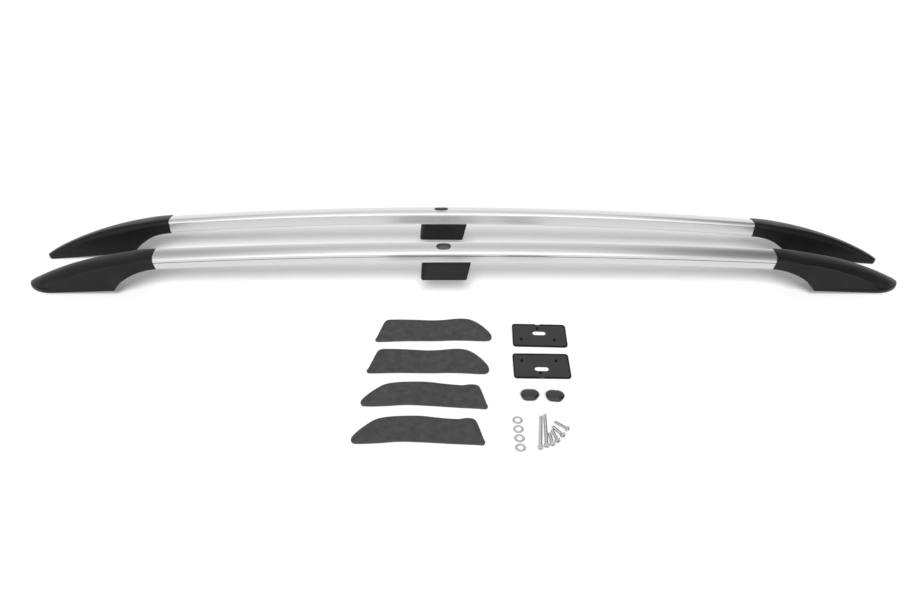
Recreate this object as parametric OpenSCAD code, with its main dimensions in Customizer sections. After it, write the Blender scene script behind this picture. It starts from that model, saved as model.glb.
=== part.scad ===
// Pair of roof side rails with their fitting kit.
// Two bowed aluminium tubes stand side by side, mirror images of each other.
// Each has a moulded foot on both ends and a block-shaped foot near its middle.
// The pads, gaskets, plugs, washers and screws of the set lie on the floor in front.
// Millimetres. X runs along the rails with the vehicle's front at -X, Z is up.
// A rail is drawn in its own frame, where +Y is its outer side, and is then placed.

/* [Rail] */
// Distance along X between the two ends of the aluminium tube
rail_span = 1316; // [900:1:1800]
// How far the middle of the tube rises above its ends
rail_rise = 22.2; // [5:0.5:60]
// How far the middle of the tube stands outward of its ends
rail_sweep_out = 7.3; // [1:0.1:30]
// Height of the underside of the tube's ends above the floor
rail_end_height = 65.5; // [50:0.1:90]
// Lean of the tube's section towards the outer side, degrees
rail_lean = 8.7; // [0:0.1:15]
// Width of the extruded section
rail_w = 37.5; // [32:0.5:50]
// Height of the extruded section
rail_h = 31; // [28:0.5:40]
// Wall of the extrusion
rail_wall = 2.4; // [1.6:0.1:3.2]
// Radius of the two upper edges of the section
shoulder_r = 5; // [4:0.5:8]
// Radius of the crowned top face
crown_r = 80; // [50:1:200]
// Radius of the two lower edges of the section
lower_edge_r = 3.5; // [2:0.5:5]
// Height of the side grooves above the underside
groove_z = 20.5; // [15:0.5:23]
// Height of each side groove
groove_h = 1.5; // [1:0.1:3]
// Depth of each side groove
groove_d = 1.1; // [0.5:0.1:1.3]

/* [Middle foot] */
// Place of the middle foot along X, measured from the rail's middle
middle_x = -44; // [-200:1:200]
// Height of the middle foot's base above the floor
middle_base_z = 51.6; // [30:0.1:60]
// Length of the middle foot at its base
middle_len = 97; // [70:1:140]
// Width of the middle foot at its base
middle_w = 58; // [44:1:70]
// How far the middle foot's base is shifted outward of the rail's line
middle_out = 6.4; // [0:0.1:10]
// How far the base of the block is shifted forward of its top
middle_rake = 7; // [0:0.5:15]
// Wall of the moulded middle foot
middle_wall = 3; // [2:0.1:5]
// Outer diameter of the steel sleeve in the middle foot
sleeve_d = 10; // [9:0.1:12]
// Bore of the steel sleeve
sleeve_bore = 6.6; // [6.4:0.1:7]
// Outer diameter of the moulded boss round the sleeve
middle_boss_d = 16; // [14:0.5:20]

/* [Access hole] */
// Length of the oval hole in the rail's top face
hole_len = 30; // [22:0.5:40]
// Width of the oval hole
hole_w = 20; // [14:0.5:24]

/* [End feet] */
// Length of an end foot from the tube's end to the tip, along X
foot_len = 299; // [220:1:380]
// Length of the foot's flat base along its outer edge
base_len = 203; // [150:1:240]
// How much longer the base is along its inner edge
base_skew = 19; // [0:1:30]
// Slope of the base along the roof's crown, degrees
base_slope = 4.6; // [0:0.1:8]
// Distance of the base's outer edge from the rail's line at the tip's end
base_out = 12.6; // [6:0.1:24]
// Distance of the base's inner edge from the rail's line
base_in = 33.5; // [24:0.1:44]
// Height of the lip round the base
lip_h = 8; // [4:0.5:14]
// Step from the lip back to the foot's body
lip_step = 1.3; // [0.5:0.1:3]
// Height of the foot's tip
tip_h = 9; // [5:0.5:16]
// Height of the upright step at the end of the base, where the arch begins
arch_step = 6; // [2:0.5:10]
// How far the foot's collar stands proud of the tube
collar = 1.2; // [0.5:0.1:2.5]
// Wall of the moulded foot
foot_wall = 3.5; // [2:0.1:5]
// Length of the tongue that enters the tube
tongue_len = 60; // [30:1:90]
// Clearance between the tongue and the tube, on each side
tongue_gap = 0.3; // [0.1:0.05:0.6]
// Distance of the fixing insert from the tip, along X
insert_from_tip = 142; // [90:1:180]
// Outer diameter of the threaded insert
insert_d = 9; // [8:0.1:11]
// Length of the threaded insert
insert_len = 12; // [8:0.5:20]
// Minor diameter of the insert's M6 thread
thread_minor_d = 5; // [4.8:0.1:5.2]
// Diameter of the moulded boss round the insert
boss_d = 17; // [14:0.5:22]

/* [Hidden fixings] */
// Shank diameter of the self-tapping screws
tapper_d = 4.2; // [3.5:0.1:5]
// Head diameter of the self-tapping screws
tapper_head_d = 8; // [7:0.1:10]
// Head height of the self-tapping screws
tapper_head_h = 2.6; // [2:0.1:3.5]
// Running clearance round shanks and sleeves, on each side
shank_gap = 0.1; // [0.05:0.05:0.3]

/* [Fitting kit] */
// How far a pad reaches past the foot's base on every side
pad_margin = 5.5; // [0:0.5:8]
// Thickness of the foam pads
pad_t = 3; // [2:0.5:6]
// How far a pad's outer edge dips halfway along
pad_waist = 4; // [0:0.5:8]
// How far a gasket reaches past the middle foot's base on every side
gasket_margin = 6; // [0:0.5:10]
// Thickness of the gaskets at their rim
gasket_t = 3.4; // [2.4:0.1:6]
// Height of the rim above the gasket's plate
rim_h = 2; // [0.6:0.1:2]
// Length of the slot in a gasket
slot_len = 27; // [16:0.5:40]
// Width of the slot in a gasket
slot_w = 12; // [8:0.5:16]
// Distance of the slot from the gasket's middle line
slot_off = 8; // [0:0.5:14]
// How far the plug's cap reaches past the access hole
plug_lip = 2.5; // [1.5:0.1:4]
// Height of the plug's cap
cap_h = 3.5; // [2:0.1:6]
// Height of the plug's skirt under the cap
skirt_h = 8; // [4:0.5:12]
// Diameter of a washer
washer_d = 18.5; // [12:0.1:22]
// Bore of a washer
washer_bore = 8.4; // [6.4:0.1:11]
// Thickness of a washer
washer_t = 1.6; // [1:0.1:2.5]
// Shank diameter of the kit's machine screws
screw_d = 5.8; // [5:0.1:8]
// Length of the two long screws under the head
long_len = 75; // [50:1:100]
// Length of the four short screws under the head
short_len = 26; // [16:1:50]
// Head diameter of the kit's screws
head_d = 9.8; // [9:0.1:13]
// Head height of the kit's screws
head_h = 3.6; // [3:0.1:7]

/* [Layout] */
// Distance between the middles of the two rails
pair_gap = 146; // [110:1:400]
// Turn of the right-hand rail in plan, degrees
pair_yaw = 0.62; // [0:0.01:3]
// Sideways shift of each rail from the middle of the layout
pair_shift = 2.8; // [-10:0.1:10]
// Distance of the left-hand rail behind the middle of the layout
pair_back = 142.7; // [100:0.1:300]

/* [Hidden] */
$fn = 72;
eps = 0.02;

// The tube bows upward and outward at once, so its line is one arc in a leaning plane.
half_span = rail_span / 2;
bow = norm([rail_rise, rail_sweep_out]);
arc_r = (half_span * half_span + bow * bow) / (2 * bow);
arc_lean = atan2(rail_sweep_out, rail_rise);
arc_end = asin(half_span / arc_r);
arc_top_z = rail_end_height + rail_rise;
section_turn = arc_lean - rail_lean;
middle_a = asin(middle_x / arc_r);
half_w = rail_w / 2;

// A point on the rail: a is the angle along the arc, u is outward, v is up the section.
function rail_pt(a, u, v) =
    let (n = v * cos(section_turn) + u * sin(section_turn))
    let (b = u * cos(section_turn) - v * sin(section_turn))
    let (drop = (arc_r + n) * cos(a) - arc_r)
    [(arc_r + n) * sin(a),
     drop * sin(arc_lean) + b * cos(arc_lean),
     arc_top_z + drop * cos(arc_lean) - b * sin(arc_lean)];

// The direction of the rail's line at its rear end.
rail_dir = [cos(arc_end), -sin(arc_end) * sin(arc_lean), -sin(arc_end) * cos(arc_lean)];
rail_slope = -rail_dir[2] / rail_dir[0];
tip_x = rail_pt(arc_end, 0, 0)[0] + foot_len;

// Puts children in the section's own frame at angle a: X along the rail, Y out, Z up.
module at_rail(a) {
    translate([0, 0, arc_top_z])
        rotate([-arc_lean, 0, 0])
            translate([0, 0, -arc_r])
                rotate([0, a, 0])
                    translate([0, 0, arc_r])
                        rotate([section_turn, 0, 0])
                            children();
}

// Sweeps a flat section along the arc from angle a0 to angle a1.
// Four facets over the whole rail put a facet's corner on the top of the arc.
module sweep_rail(a0, a1) {
    translate([0, 0, arc_top_z])
        rotate([-arc_lean, 0, 0])
            translate([0, 0, -arc_r])
                rotate([90, 0, 0])
                    rotate([0, 0, 90 - a1])
                        rotate_extrude(angle = a1 - a0, $fn = floor(3.9 * 360 / (a1 - a0)))
                            translate([arc_r, 0])
                                rotate(section_turn - 90)
                                    children();
}

// The extrusion's outline, drawn the distance d inside its surface: flat base, upright
// sides, and round shoulders that run without a corner into the crowned top.
module rail_outline(d) {
    hw = half_w - d;
    low_r = max(0.8, lower_edge_r - d);
    top_r = max(0.8, shoulder_r - d);
    top_c = crown_r - d;
    crown_z = rail_h - crown_r;
    shoulder_u = hw - top_r;
    shoulder_z = crown_z + sqrt(pow(top_c - top_r, 2) - shoulder_u * shoulder_u);
    fan = asin(shoulder_u / (top_c - top_r));
    translate([-hw, d + low_r]) square([2 * hw, shoulder_z - d - low_r]);
    translate([-shoulder_u, d]) square([2 * shoulder_u, low_r + eps]);
    translate([-hw + low_r, d]) square([2 * (hw - low_r), low_r + eps]);
    for (side = [-1, 1]) {
        translate([side * (hw - low_r), d + low_r]) circle(r = low_r);
        translate([side * shoulder_u, shoulder_z]) circle(r = top_r);
    }
    intersection() {
        translate([0, crown_z]) circle(r = top_c, $fn = 256);
        translate([0, crown_z]) polygon([[0, 0], [-top_c * tan(fan), top_c], [top_c * tan(fan), top_c]]);
        translate([-hw, shoulder_z - eps]) square([2 * hw, rail_h]);
    }
}

// The tongue's outline: a box with round edges that clears the hollow all round.
module tongue_outline() {
    d = rail_wall + tongue_gap;
    hw = half_w - d;
    r = 2.4;
    top = rail_h - d - hw * hw / (2 * crown_r);
    translate([-hw, d + r]) square([2 * hw, top - d - 2 * r]);
    translate([-hw + r, d]) square([2 * (hw - r), top - d]);
    for (x = [r - hw, hw - r]) for (z = [d + r, top - r]) {
        translate([x, z]) circle(r = r);
    }
}

// The extrusion's section, with a groove along each side under the crowned part.
module rail_section() {
    difference() {
        rail_outline(0);
        rail_outline(rail_wall);
        for (side = [-1, 1]) {
            translate([side * half_w, groove_z + groove_h / 2])
                square([2 * groove_d, groove_h], center = true);
        }
    }
}

// A straight-sided oval post, longer along X.
module oval(len, wid, h) {
    for (side = [-1, 1]) {
        translate([side * (len - wid) / 2, 0, 0]) cylinder(d = wid, h = h);
    }
    translate([-(len - wid) / 2, -wid / 2, 0]) cube([len - wid, wid, h]);
}

// The place of the upright bolt through the middle foot.
bolt_y = rail_pt(middle_a, 0, 0)[1];
bolt_top_z = rail_pt(middle_a, 0, 0)[2] + rail_wall + 4;
sleeve_len = bolt_top_z - middle_base_z;
tongue_a = asin(tongue_len / arc_r);
tapper_a = arc_end - tongue_a * 0.45;
middle_screw_dx = middle_len * 0.32;
middle_post = 14;
middle_roof = 9;
seat_gap = 0.2;

// One bowed tube with its access hole, bolt hole and screw holes.
module rail() {
    difference() {
        sweep_rail(-arc_end, arc_end) rail_section();
        at_rail(middle_a) translate([0, 0, rail_h / 2]) oval(hole_len, hole_w, rail_h);
        translate([middle_x, bolt_y, middle_base_z + 20])
            cylinder(d = middle_boss_d + 4 * shank_gap, h = arc_top_z - middle_base_z);
        for (side = [-1, 1]) {
            at_rail(side * tapper_a) translate([0, 0, -1])
                cylinder(d = tapper_d + 2 * shank_gap, h = rail_wall + 2);
            at_rail(middle_a) translate([side * middle_screw_dx, 0, -1])
                cylinder(d = tapper_d + 2 * shank_gap, h = rail_wall + 2);
        }
    }
}

// Height of a curve that leaves p with slope mp and reaches q with slope mq, at s.
function blend_z(s, p, mp, q, mq) =
    let (sc = (q[1] - mq * q[0] - p[1] + mp * p[0]) / (mp - mq))
    let (zc = p[1] + mp * (sc - p[0]))
    let (a = p[0] - 2 * sc + q[0], b = 2 * (sc - p[0]), c = p[0] - s)
    let (t = (sqrt(max(0, b * b - 4 * a * c)) - b) / (2 * a))
    (1 - t) * (1 - t) * p[1] + 2 * t * (1 - t) * zc + t * t * q[1];

function mix(a, b, t) = a + (b - a) * t;
function smooth(t) = let (k = min(1, max(0, t))) k * k * (3 - 2 * k);

// The foot's lines, each at the distance s from the tip.
function base_z(s) = s * tan(base_slope);
arch_top = rail_pt(arc_end, half_w, 0)[2] - collar;
arch_run = 3;
arch_start = [base_len + arch_run, base_z(base_len) + arch_step];
arch_rise = max(1.3, 1.15 * (arch_top - arch_start[1]) / (foot_len - arch_start[0]));
function arch_z(s) = s < arch_start[0]
    ? mix(base_z(base_len), arch_start[1], (s - base_len) / arch_run)
    : blend_z(s, arch_start, arch_rise, [foot_len, arch_top], -0.02);
function under_z(s) = s <= base_len ? base_z(s) : arch_z(s);
top_end = rail_pt(arc_end, 0, rail_h)[2] + collar - 1;
function top_z(s) = blend_z(s, [0, tip_h], 0.6, [foot_len, top_end], rail_slope);
crease_start = [45, 11];
crease_end = [foot_len, rail_pt(arc_end, half_w, groove_z)[2] + 3];
function crease_z(s) = s < crease_start[0] ? 0
    : blend_z(s, crease_start, 0.58, crease_end, 0);
tip_run = 60;
tip_width = 2;
base_flare = 0.06;
inner_run = 12;
function tip_round(t) = mix(1 - sqrt(1 - t * t), t * t, 0.4);
function inner_u(s) = -base_in + 0.015 * s + (s < inner_run ? 9 * pow(1 - s / inner_run, 2) : 0);
function outer_u(s) = base_out + base_flare * s
    - (s < tip_run ? (base_out - inner_u(0) - tip_width) * tip_round(1 - s / tip_run) : 0);

// How far a ring slants in plan for each millimetre inward: the base ends on a skewed edge.
function slant(s) = base_skew / (outer_u(base_len) - inner_u(base_len))
    * (s < base_len ? smooth(s / base_len) : 1 - smooth((s - base_len) / (foot_len - base_len)));

// One ring of the foot as [u, z] points, from the inner base edge over the top.
// Its inner side is lifted by as much as the sloping base rises over the slant.
roll_n = 6;
function foot_ring(s) =
    let (ui = inner_u(s), uo = outer_u(s), z0 = under_z(s), w = uo - ui)
    let (k = min(1, w / 34), zt = top_z(s), hh = zt - z0)
    let (lip = min(lip_h, 0.6 * hh) * (s > base_len ? 0.5 : 1), st = lip_step * k)
    let (us = ui + 6 * k, uc = uo - (3 + 3 * s / base_len) * k)
    let (zc = max(crease_z(s), z0 + lip + st + 0.3), zs = z0 + lip + st)
    let (rise = max(0, zt - zs), bx = mix(us + 6 * k, uc, 0.66), bz = zt + 0.5 * k)
    let (up = slant(s) * w * tan(base_slope))
    concat(
        [[ui, z0 + up], [ui, z0 + up + lip], [ui + st, zs + up], [ui + st + k, zs + rise * 0.45],
         [us - 2 * k, zs + rise * 0.8], [us + k, zs + rise * 0.95], [us + 6 * k, zt]],
        [for (i = [1 : roll_n]) let (t = i / (roll_n + 1))
            [(1 - t) * (1 - t) * (us + 6 * k) + 2 * t * (1 - t) * bx + t * t * uc,
             (1 - t) * (1 - t) * zt + 2 * t * (1 - t) * bz + t * t * zc]],
        [[uc, zc], [uc - 0.9 * k, mix(zc, zs, 0.12)],
         [mix(uc, uo - st, 0.5), mix(zc, zs, 0.55)], [uo - st, zs], [uo, z0 + lip], [uo, z0]]);

// The ring at the collar, in the section's own u and v.
function collar_ring() =
    let (hw = half_w + collar, top = rail_h + collar)
    concat(
        [[-hw + 3, -collar], [-hw, 2.5], [-hw, 6], [-hw, 13],
         [-hw, groove_z + 2], [-hw + 2, top - 3.6], [-hw + 6, top - 1.3]],
        [for (i = [1 : roll_n]) let (u = mix(-hw + 6, hw - 3.5, i / (roll_n + 0.4)))
            [u, top - u * u / (2 * crown_r)]],
        [[hw, groove_z + 1.5], [hw - 0.9, groove_z],
         [hw, groove_z - 3], [hw, 6], [hw, 2.5], [hw - 3, -collar]]);

// A ring in space: the free form at the base turns into the collar at the tube.
collar_run = min(62, foot_len - base_len - 8);
function ring_3d(s) =
    let (free = foot_ring(s), held = collar_ring(), sl = slant(s))
    let (w = smooth((s - foot_len + collar_run) / collar_run), uo = outer_u(s))
    [for (i = [0 : len(free) - 1])
        let (p = free[i], c = rail_pt(arc_end, held[i][0], held[i][1]) + rail_dir * (foot_len - s))
        mix([tip_x - s - sl * (uo - p[0]), p[0], p[1]], c, w)];

// Skins a closed solid over a list of rings with equal counts of points.
module skin(rings) {
    n = len(rings[0]);
    m = len(rings);
    faces = concat(
        [[for (i = [0 : n - 1]) i]],
        [for (j = [0 : m - 2]) for (i = [0 : n - 1]) let (k = (i + 1) % n)
            for (f = [[j * n + i, (j + 1) * n + i, (j + 1) * n + k],
                      [j * n + i, (j + 1) * n + k, j * n + k]]) f],
        [[for (i = [n - 1 : -1 : 0]) (m - 1) * n + i]]);
    polyhedron(points = [for (r = rings) each r], faces = faces, convexity = 8);
}

// Where rings stand along the foot, closer together at the tip and the arch.
foot_stations = concat(
    [for (t = [0 : 7]) tip_run * pow(t / 7, 2)],
    [for (t = [1 : 6]) mix(tip_run, base_len, t / 6)],
    [for (t = [0 : 11]) mix(arch_start[0], foot_len, pow(t / 11, 1.1))]);

// The hollow under the foot between two distances from the tip.
pocket_edges = [for (share = [0, 0.27, 0.53, 0.8, 1]) mix(26, base_len - 4, share)];
rib_t = 2.6;
crease_i = 7 + roll_n;
function pocket_ring(s) =
    let (r = foot_ring(s), w = foot_wall, sl = slant(s), uo = outer_u(s))
    let (crown = r[7 + roll_n / 2], fold = r[crease_i], step = r[crease_i + 3])
    let (crease = fold[1] - w * 1.2)
    [for (p = [[r[0][0] + w, r[0][1] - 3], [r[2][0] + w, r[2][1] + w],
               [r[4][0] + w, r[4][1] - w], [r[6][0] + w * 0.5, r[6][1] - w],
               [crown[0], crown[1] - w], [fold[0] - w, crease],
               [step[0] - w, min(step[1], crease - 0.4)], [uo - w, r[crease_i + 5][1] - 3]])
        [tip_x - s - sl * (uo - p[0]), p[0], p[1]]];

insert_x = tip_x - insert_from_tip;
insert_y = (outer_u(insert_from_tip) + inner_u(insert_from_tip)) / 2;
insert_z = base_z(insert_from_tip);

// Puts children on the foot's base at the insert, with Z square to the base.
module at_insert() {
    translate([insert_x, insert_y, insert_z]) rotate([0, base_slope, 0]) children();
}

// One end foot, drawn for the rear end: shell, ribs, boss and tongue.
module end_foot() {
    difference() {
        union() {
            skin([for (s = foot_stations) ring_3d(s)]);
            sweep_rail(arc_end - tongue_a, arc_end + 0.02) tongue_outline();
        }
        for (i = [0 : len(pocket_edges) - 2]) {
            difference() {
                skin([for (t = [0 : 2])
                    pocket_ring(mix(pocket_edges[i] + rib_t / 2,
                        pocket_edges[i + 1] - rib_t / 2, t / 2))]);
                at_insert() translate([0, 0, -5]) cylinder(d = boss_d, h = 100);
            }
        }
        at_insert() translate([0, 0, -1]) cylinder(d = insert_d, h = insert_len + 1);
        at_rail(tapper_a) translate([0, 0, 0]) cylinder(d = tapper_d, h = rail_wall + 14);
    }
}

// The block under the rail near its middle, with its top on the tube's underside.
function block_ring(z, grow, chamfer) =
    let (t = (z - middle_base_z) / (arc_top_z - middle_base_z))
    let (x0 = middle_x - middle_len / 2 - grow + middle_rake * t * 0.5)
    let (x1 = middle_x + middle_len / 2 + grow + middle_rake * t * 1.4)
    let (y0 = -mix(middle_w / 2 - middle_out, half_w, t) - grow)
    let (y1 = mix(middle_w / 2 + middle_out, half_w, t) + grow)
    let (c = chamfer)
    [[x0 + c, y0, z], [x1 - c, y0, z], [x1, y0 + c, z], [x1, y1 - c, z],
     [x1 - c, y1, z], [x0 + c, y1, z], [x0, y1 - c, z], [x0, y0 + c, z]];

// The two pockets under the block, less the middle rib, the boss and the screw posts.
module block_pockets() {
    difference() {
        skin([block_ring(middle_base_z - 1, -middle_wall, 2),
            block_ring(arc_top_z - middle_roof, -middle_wall, 6)]);
        translate([middle_x - rib_t / 2, -middle_w, 0]) cube([rib_t, 2 * middle_w, 200]);
        translate([middle_x, bolt_y, middle_base_z - 2]) cylinder(d = middle_boss_d, h = 80);
        for (side = [-1, 1]) {
            at_rail(middle_a) translate([side * middle_screw_dx, 0, -middle_post])
                cylinder(d = 12, h = 60);
        }
    }
}

module middle_foot() {
    difference() {
        union() {
            difference() {
                skin([block_ring(middle_base_z, 0, 4), block_ring(middle_base_z + 3, 0, 4),
                    block_ring(arc_top_z + 6, 0, 9)]);
                at_rail(middle_a) translate([-200, -100, -seat_gap]) cube([400, 200, 60]);
            }
            translate([middle_x, bolt_y, middle_base_z])
                cylinder(d = middle_boss_d, h = sleeve_len);
        }
        block_pockets();
        translate([middle_x, bolt_y, middle_base_z - 1])
            cylinder(d = sleeve_d + 2 * shank_gap, h = sleeve_len + 2);
        for (side = [-1, 1]) {
            at_rail(middle_a) translate([side * middle_screw_dx, 0, -60])
                cylinder(d = tapper_d + 2 * shank_gap, h = 80);
        }
    }
}

// A self-tapping screw with its head below the origin.
module tapper(len) {
    translate([0, 0, -tapper_head_h]) cylinder(d = tapper_head_d, h = tapper_head_h);
    translate([0, 0, -eps]) cylinder(d = tapper_d - 0.2, h = len - 3);
    translate([0, 0, len - 3 - 2 * eps]) cylinder(d1 = tapper_d - 0.2, d2 = 1, h = 3);
}

// Places a rear-end piece on the front end too.
module front_end() {
    mirror([1, 0, 0]) children();
}

// Places a piece that is drawn with its outer side at +Y.
module on_right() {
    translate([-pair_shift, pair_back + pair_gap, 0]) rotate([0, 0, -pair_yaw]) children();
}

module on_left() {
    translate([pair_shift, pair_back, 0]) mirror([0, 1, 0]) children();
}

module thread_insert() {
    at_insert() difference() {
        cylinder(d = insert_d, h = insert_len);
        translate([0, 0, -1]) cylinder(d = thread_minor_d, h = insert_len + 2);
    }
}

module bolt_sleeve() {
    translate([middle_x, bolt_y, middle_base_z]) difference() {
        cylinder(d = sleeve_d, h = sleeve_len);
        translate([0, 0, -1]) cylinder(d = sleeve_bore, h = sleeve_len + 2);
    }
}

// The outline of a foot's base in plan, with its tip at the origin and pointing to +X.
// A pad's outer edge dips between the tip's round and the base's end.
base_steps = [for (t = [0 : 0.1 : 1]) tip_run * t * t];
base_outline = concat(
    [for (s = base_steps) [-s, outer_u(s)]],
    [for (t = [0.1 : 0.1 : 0.95]) let (s = mix(tip_run, base_len, t))
        [-s, outer_u(s) - pad_waist * pow(sin(180 * t), 2)]],
    [[-base_len, outer_u(base_len)], [-base_len - base_skew, inner_u(base_len)]],
    [for (i = [5 : -1 : 0]) [-inner_run * i / 5, inner_u(inner_run * i / 5)]]);
base_mid = [-(base_len + base_skew) / 2, (outer_u(base_len) + inner_u(base_len)) / 2];

// A flat pad in the shape of the base and a little larger.
module pad() {
    linear_extrude(height = pad_t)
        offset(r = pad_margin, $fn = 24)
            translate(-base_mid) polygon(base_outline);
}

// A gasket for the middle foot: raised rim with a gap, off-centre slot and locating pegs.
gasket_len = middle_len + 2 * gasket_margin;
gasket_w = middle_w + 2 * gasket_margin;
rim_w = 2.5;
rim_gap = 9;
peg_d = 5.5;
peg_h = 3;

module rounded_plate(l, w, h, r) {
    for (x = [-1, 1]) for (y = [-1, 1]) {
        translate([x * (l / 2 - r), y * (w / 2 - r), 0]) cylinder(r = r, h = h);
    }
    translate([-l / 2 + r, -w / 2, 0]) cube([l - 2 * r, w, h]);
    translate([-l / 2, -w / 2 + r, 0]) cube([l, w - 2 * r, h]);
}

module gasket() {
    plate_t = gasket_t - rim_h;
    difference() {
        rounded_plate(gasket_len, gasket_w, gasket_t, 7);
        translate([0, 0, plate_t])
            rounded_plate(gasket_len - 2 * rim_w, gasket_w - 2 * rim_w, rim_h + 1, 5);
        translate([0, slot_off, -1]) oval(slot_len, slot_w, gasket_t + 2);
        translate([-2 - rim_gap / 2, gasket_w / 2 - rim_w - 1, plate_t])
            cube([rim_gap, rim_w + 2, rim_h + 1]);
    }
    for (peg = [[-0.34, -0.2], [0.27, -0.2], [-0.03, 0.3]]) {
        translate([peg[0] * gasket_len, peg[1] * gasket_w, 0]) cylinder(d = peg_d, h = plate_t + peg_h);
    }
}

// A straight-sided oval whose rim widens evenly from wid0 to wid1 over its height.
module flared_oval(len0, wid0, wid1, h) {
    span = len0 - wid0;
    for (side = [-1, 1]) {
        translate([side * span / 2, 0, 0]) cylinder(d1 = wid0, d2 = wid1, h = h);
    }
    translate([-span / 2, 0, 0]) rotate([90, 0, 90]) linear_extrude(height = span)
        polygon([[-wid0 / 2, 0], [wid0 / 2, 0], [wid1 / 2, h], [-wid1 / 2, h]]);
}

// A push-in plug for the access hole: bevelled cap, skirt and two catches.
flange_t = 0.8;
cap_bevel = 5;

module hole_plug() {
    cap_len = hole_len + 2 * plug_lip;
    cap_wid = hole_w + 2 * plug_lip;
    translate([0, 0, skirt_h]) oval(cap_len, cap_wid, flange_t + eps);
    translate([0, 0, skirt_h + flange_t])
        flared_oval(cap_len, cap_wid, cap_wid - cap_bevel, cap_h - flange_t);
    difference() {
        oval(hole_len - 1, hole_w - 1, skirt_h + eps);
        translate([0, 0, -1]) oval(hole_len - 4.6, hole_w - 4.6, skirt_h + 1);
    }
    for (side = [-1, 1]) {
        translate([side * (hole_len / 2 - 0.8), 0, 2.5]) cube([2, 7, 2.5], center = true);
    }
}

module washer() {
    difference() {
        cylinder(d = washer_d, h = washer_t);
        translate([0, 0, -1]) cylinder(d = washer_bore, h = washer_t + 2);
    }
}

recess_d = 5.8;
recess_floor = 1.4;

// A machine screw lying down: head rim and shank end both touch the floor.
module lying_screw(len) {
    tilt = atan((head_d - screw_d) / 2 / (len - 1));
    translate([0, 0, head_d / 2 * cos(tilt)])
        rotate([-90 - tilt, 0, 0]) machine_screw(len);
}

module machine_screw(len) {
    difference() {
        union() {
            translate([0, 0, -head_h]) cylinder(d = head_d, h = head_h);
            translate([0, 0, -eps]) cylinder(d = screw_d, h = len - 1 + eps);
            translate([0, 0, len - 1 - eps]) cylinder(d1 = screw_d, d2 = screw_d - 1.6, h = 1);
        }
        translate([0, 0, -head_h - 1]) cylinder(d = recess_d, h = head_h - recess_floor + 1, $fn = 6);
    }
}

// Colours of the materials.
module silver() { color("#c9ccd0") children(); }
module black_nylon() { color("#2c2d2f") children(); }
module foam() { color("#4a4b4d") children(); }
module rubber() { color("#222325") children(); }
module zinc() { color("#b9bcc0") children(); }
module brass() { color("#b89a50") children(); }

// Modules of the separate pieces.
module left_rail() { silver() on_left() rail(); }
module right_rail() { silver() on_right() rail(); }
module left_front_foot() { black_nylon() on_left() front_end() end_foot(); }
module left_rear_foot() { black_nylon() on_left() end_foot(); }
module right_front_foot() { black_nylon() on_right() front_end() end_foot(); }
module right_rear_foot() { black_nylon() on_right() end_foot(); }
module left_middle_foot() { black_nylon() on_left() middle_foot(); }
module right_middle_foot() { black_nylon() on_right() middle_foot(); }

module thread_inserts() {
    brass() {
        on_left() thread_insert();
        on_left() front_end() thread_insert();
        on_right() thread_insert();
        on_right() front_end() thread_insert();
    }
}

module bolt_sleeves() {
    zinc() {
        on_left() bolt_sleeve();
        on_right() bolt_sleeve();
    }
}

module tongue_screws() {
    zinc() {
        for (side = [-1, 1]) {
            on_left() at_rail(side * tapper_a) tapper(14);
            on_right() at_rail(side * tapper_a) tapper(14);
        }
    }
}

module middle_screw_pair() {
    for (side = [-1, 1]) {
        at_rail(middle_a) translate([side * middle_screw_dx, 0, -middle_post]) tapper(22);
    }
}

module middle_foot_screws() {
    zinc() {
        on_left() middle_screw_pair();
        on_right() middle_screw_pair();
    }
}

// Places a piece of the kit on the floor, y in front of the left-hand rail's middle.
module in_front(x, y) {
    translate([x + pair_shift, pair_back - y, 0]) children();
}

// Rows of the kit. The first two pads point to +X, the other two to -X.
module right_rear_pad() { foam() in_front(-64, 140.4) pad(); }
module left_front_pad() { foam() in_front(-73, 236.1) pad(); }
module right_front_pad() { foam() in_front(-79, 332.1) mirror([1, 0, 0]) pad(); }
module left_rear_pad() { foam() in_front(-88, 421.1) mirror([1, 0, 0]) pad(); }
module right_gasket() { rubber() in_front(150, 157.7) rotate(-2) gasket(); }
module left_gasket() { rubber() in_front(145, 250) rotate(-1) mirror([0, 1, 0]) gasket(); }
module left_hole_plug() { rubber() in_front(114.8, 334.8) hole_plug(); }
module right_hole_plug() { rubber() in_front(160.7, 337.4) rotate(-8) hole_plug(); }

washer_pitch = washer_d + 3.2;
module kit_washers() {
    zinc() for (i = [0 : 3]) in_front(88, 393.5 + washer_pitch * i) washer();
}

module kit_long_screws() {
    zinc() {
        in_front(122, 460.6) rotate(-6.4) lying_screw(long_len);
        in_front(133, 456.5) rotate(-3.7) lying_screw(long_len);
    }
}

module kit_short_screws() {
    zinc() {
        in_front(143.2, 452.5) rotate(5) lying_screw(short_len);
        in_front(153, 444.7) rotate(15) lying_screw(short_len);
        in_front(162.8, 432.4) rotate(34.6) lying_screw(short_len);
        in_front(172.2, 417.4) rotate(47) lying_screw(short_len);
    }
}

left_rail();
right_rail();
left_front_foot();
left_rear_foot();
right_front_foot();
right_rear_foot();
left_middle_foot();
right_middle_foot();
thread_inserts();
bolt_sleeves();
tongue_screws();
middle_foot_screws();
left_front_pad();
left_rear_pad();
right_front_pad();
right_rear_pad();
left_gasket();
right_gasket();
left_hole_plug();
right_hole_plug();
kit_washers();
kit_long_screws();
kit_short_screws();
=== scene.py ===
# %% [markdown]
# A pair of roof side rails
#
# Two bowed aluminium tubes stand on moulded black feet, and the parts that go with them lie on the
# floor in front: pads, gaskets, hole plugs, washers and screws. The construction model arrives as a
# frame that can't be moved. This notebook gives it its looks: the tubes and the moulded parts are
# drawn again as smooth meshes in the same places, and every surface gets a finish of its own.

# %% Load the frame
import math

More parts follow.
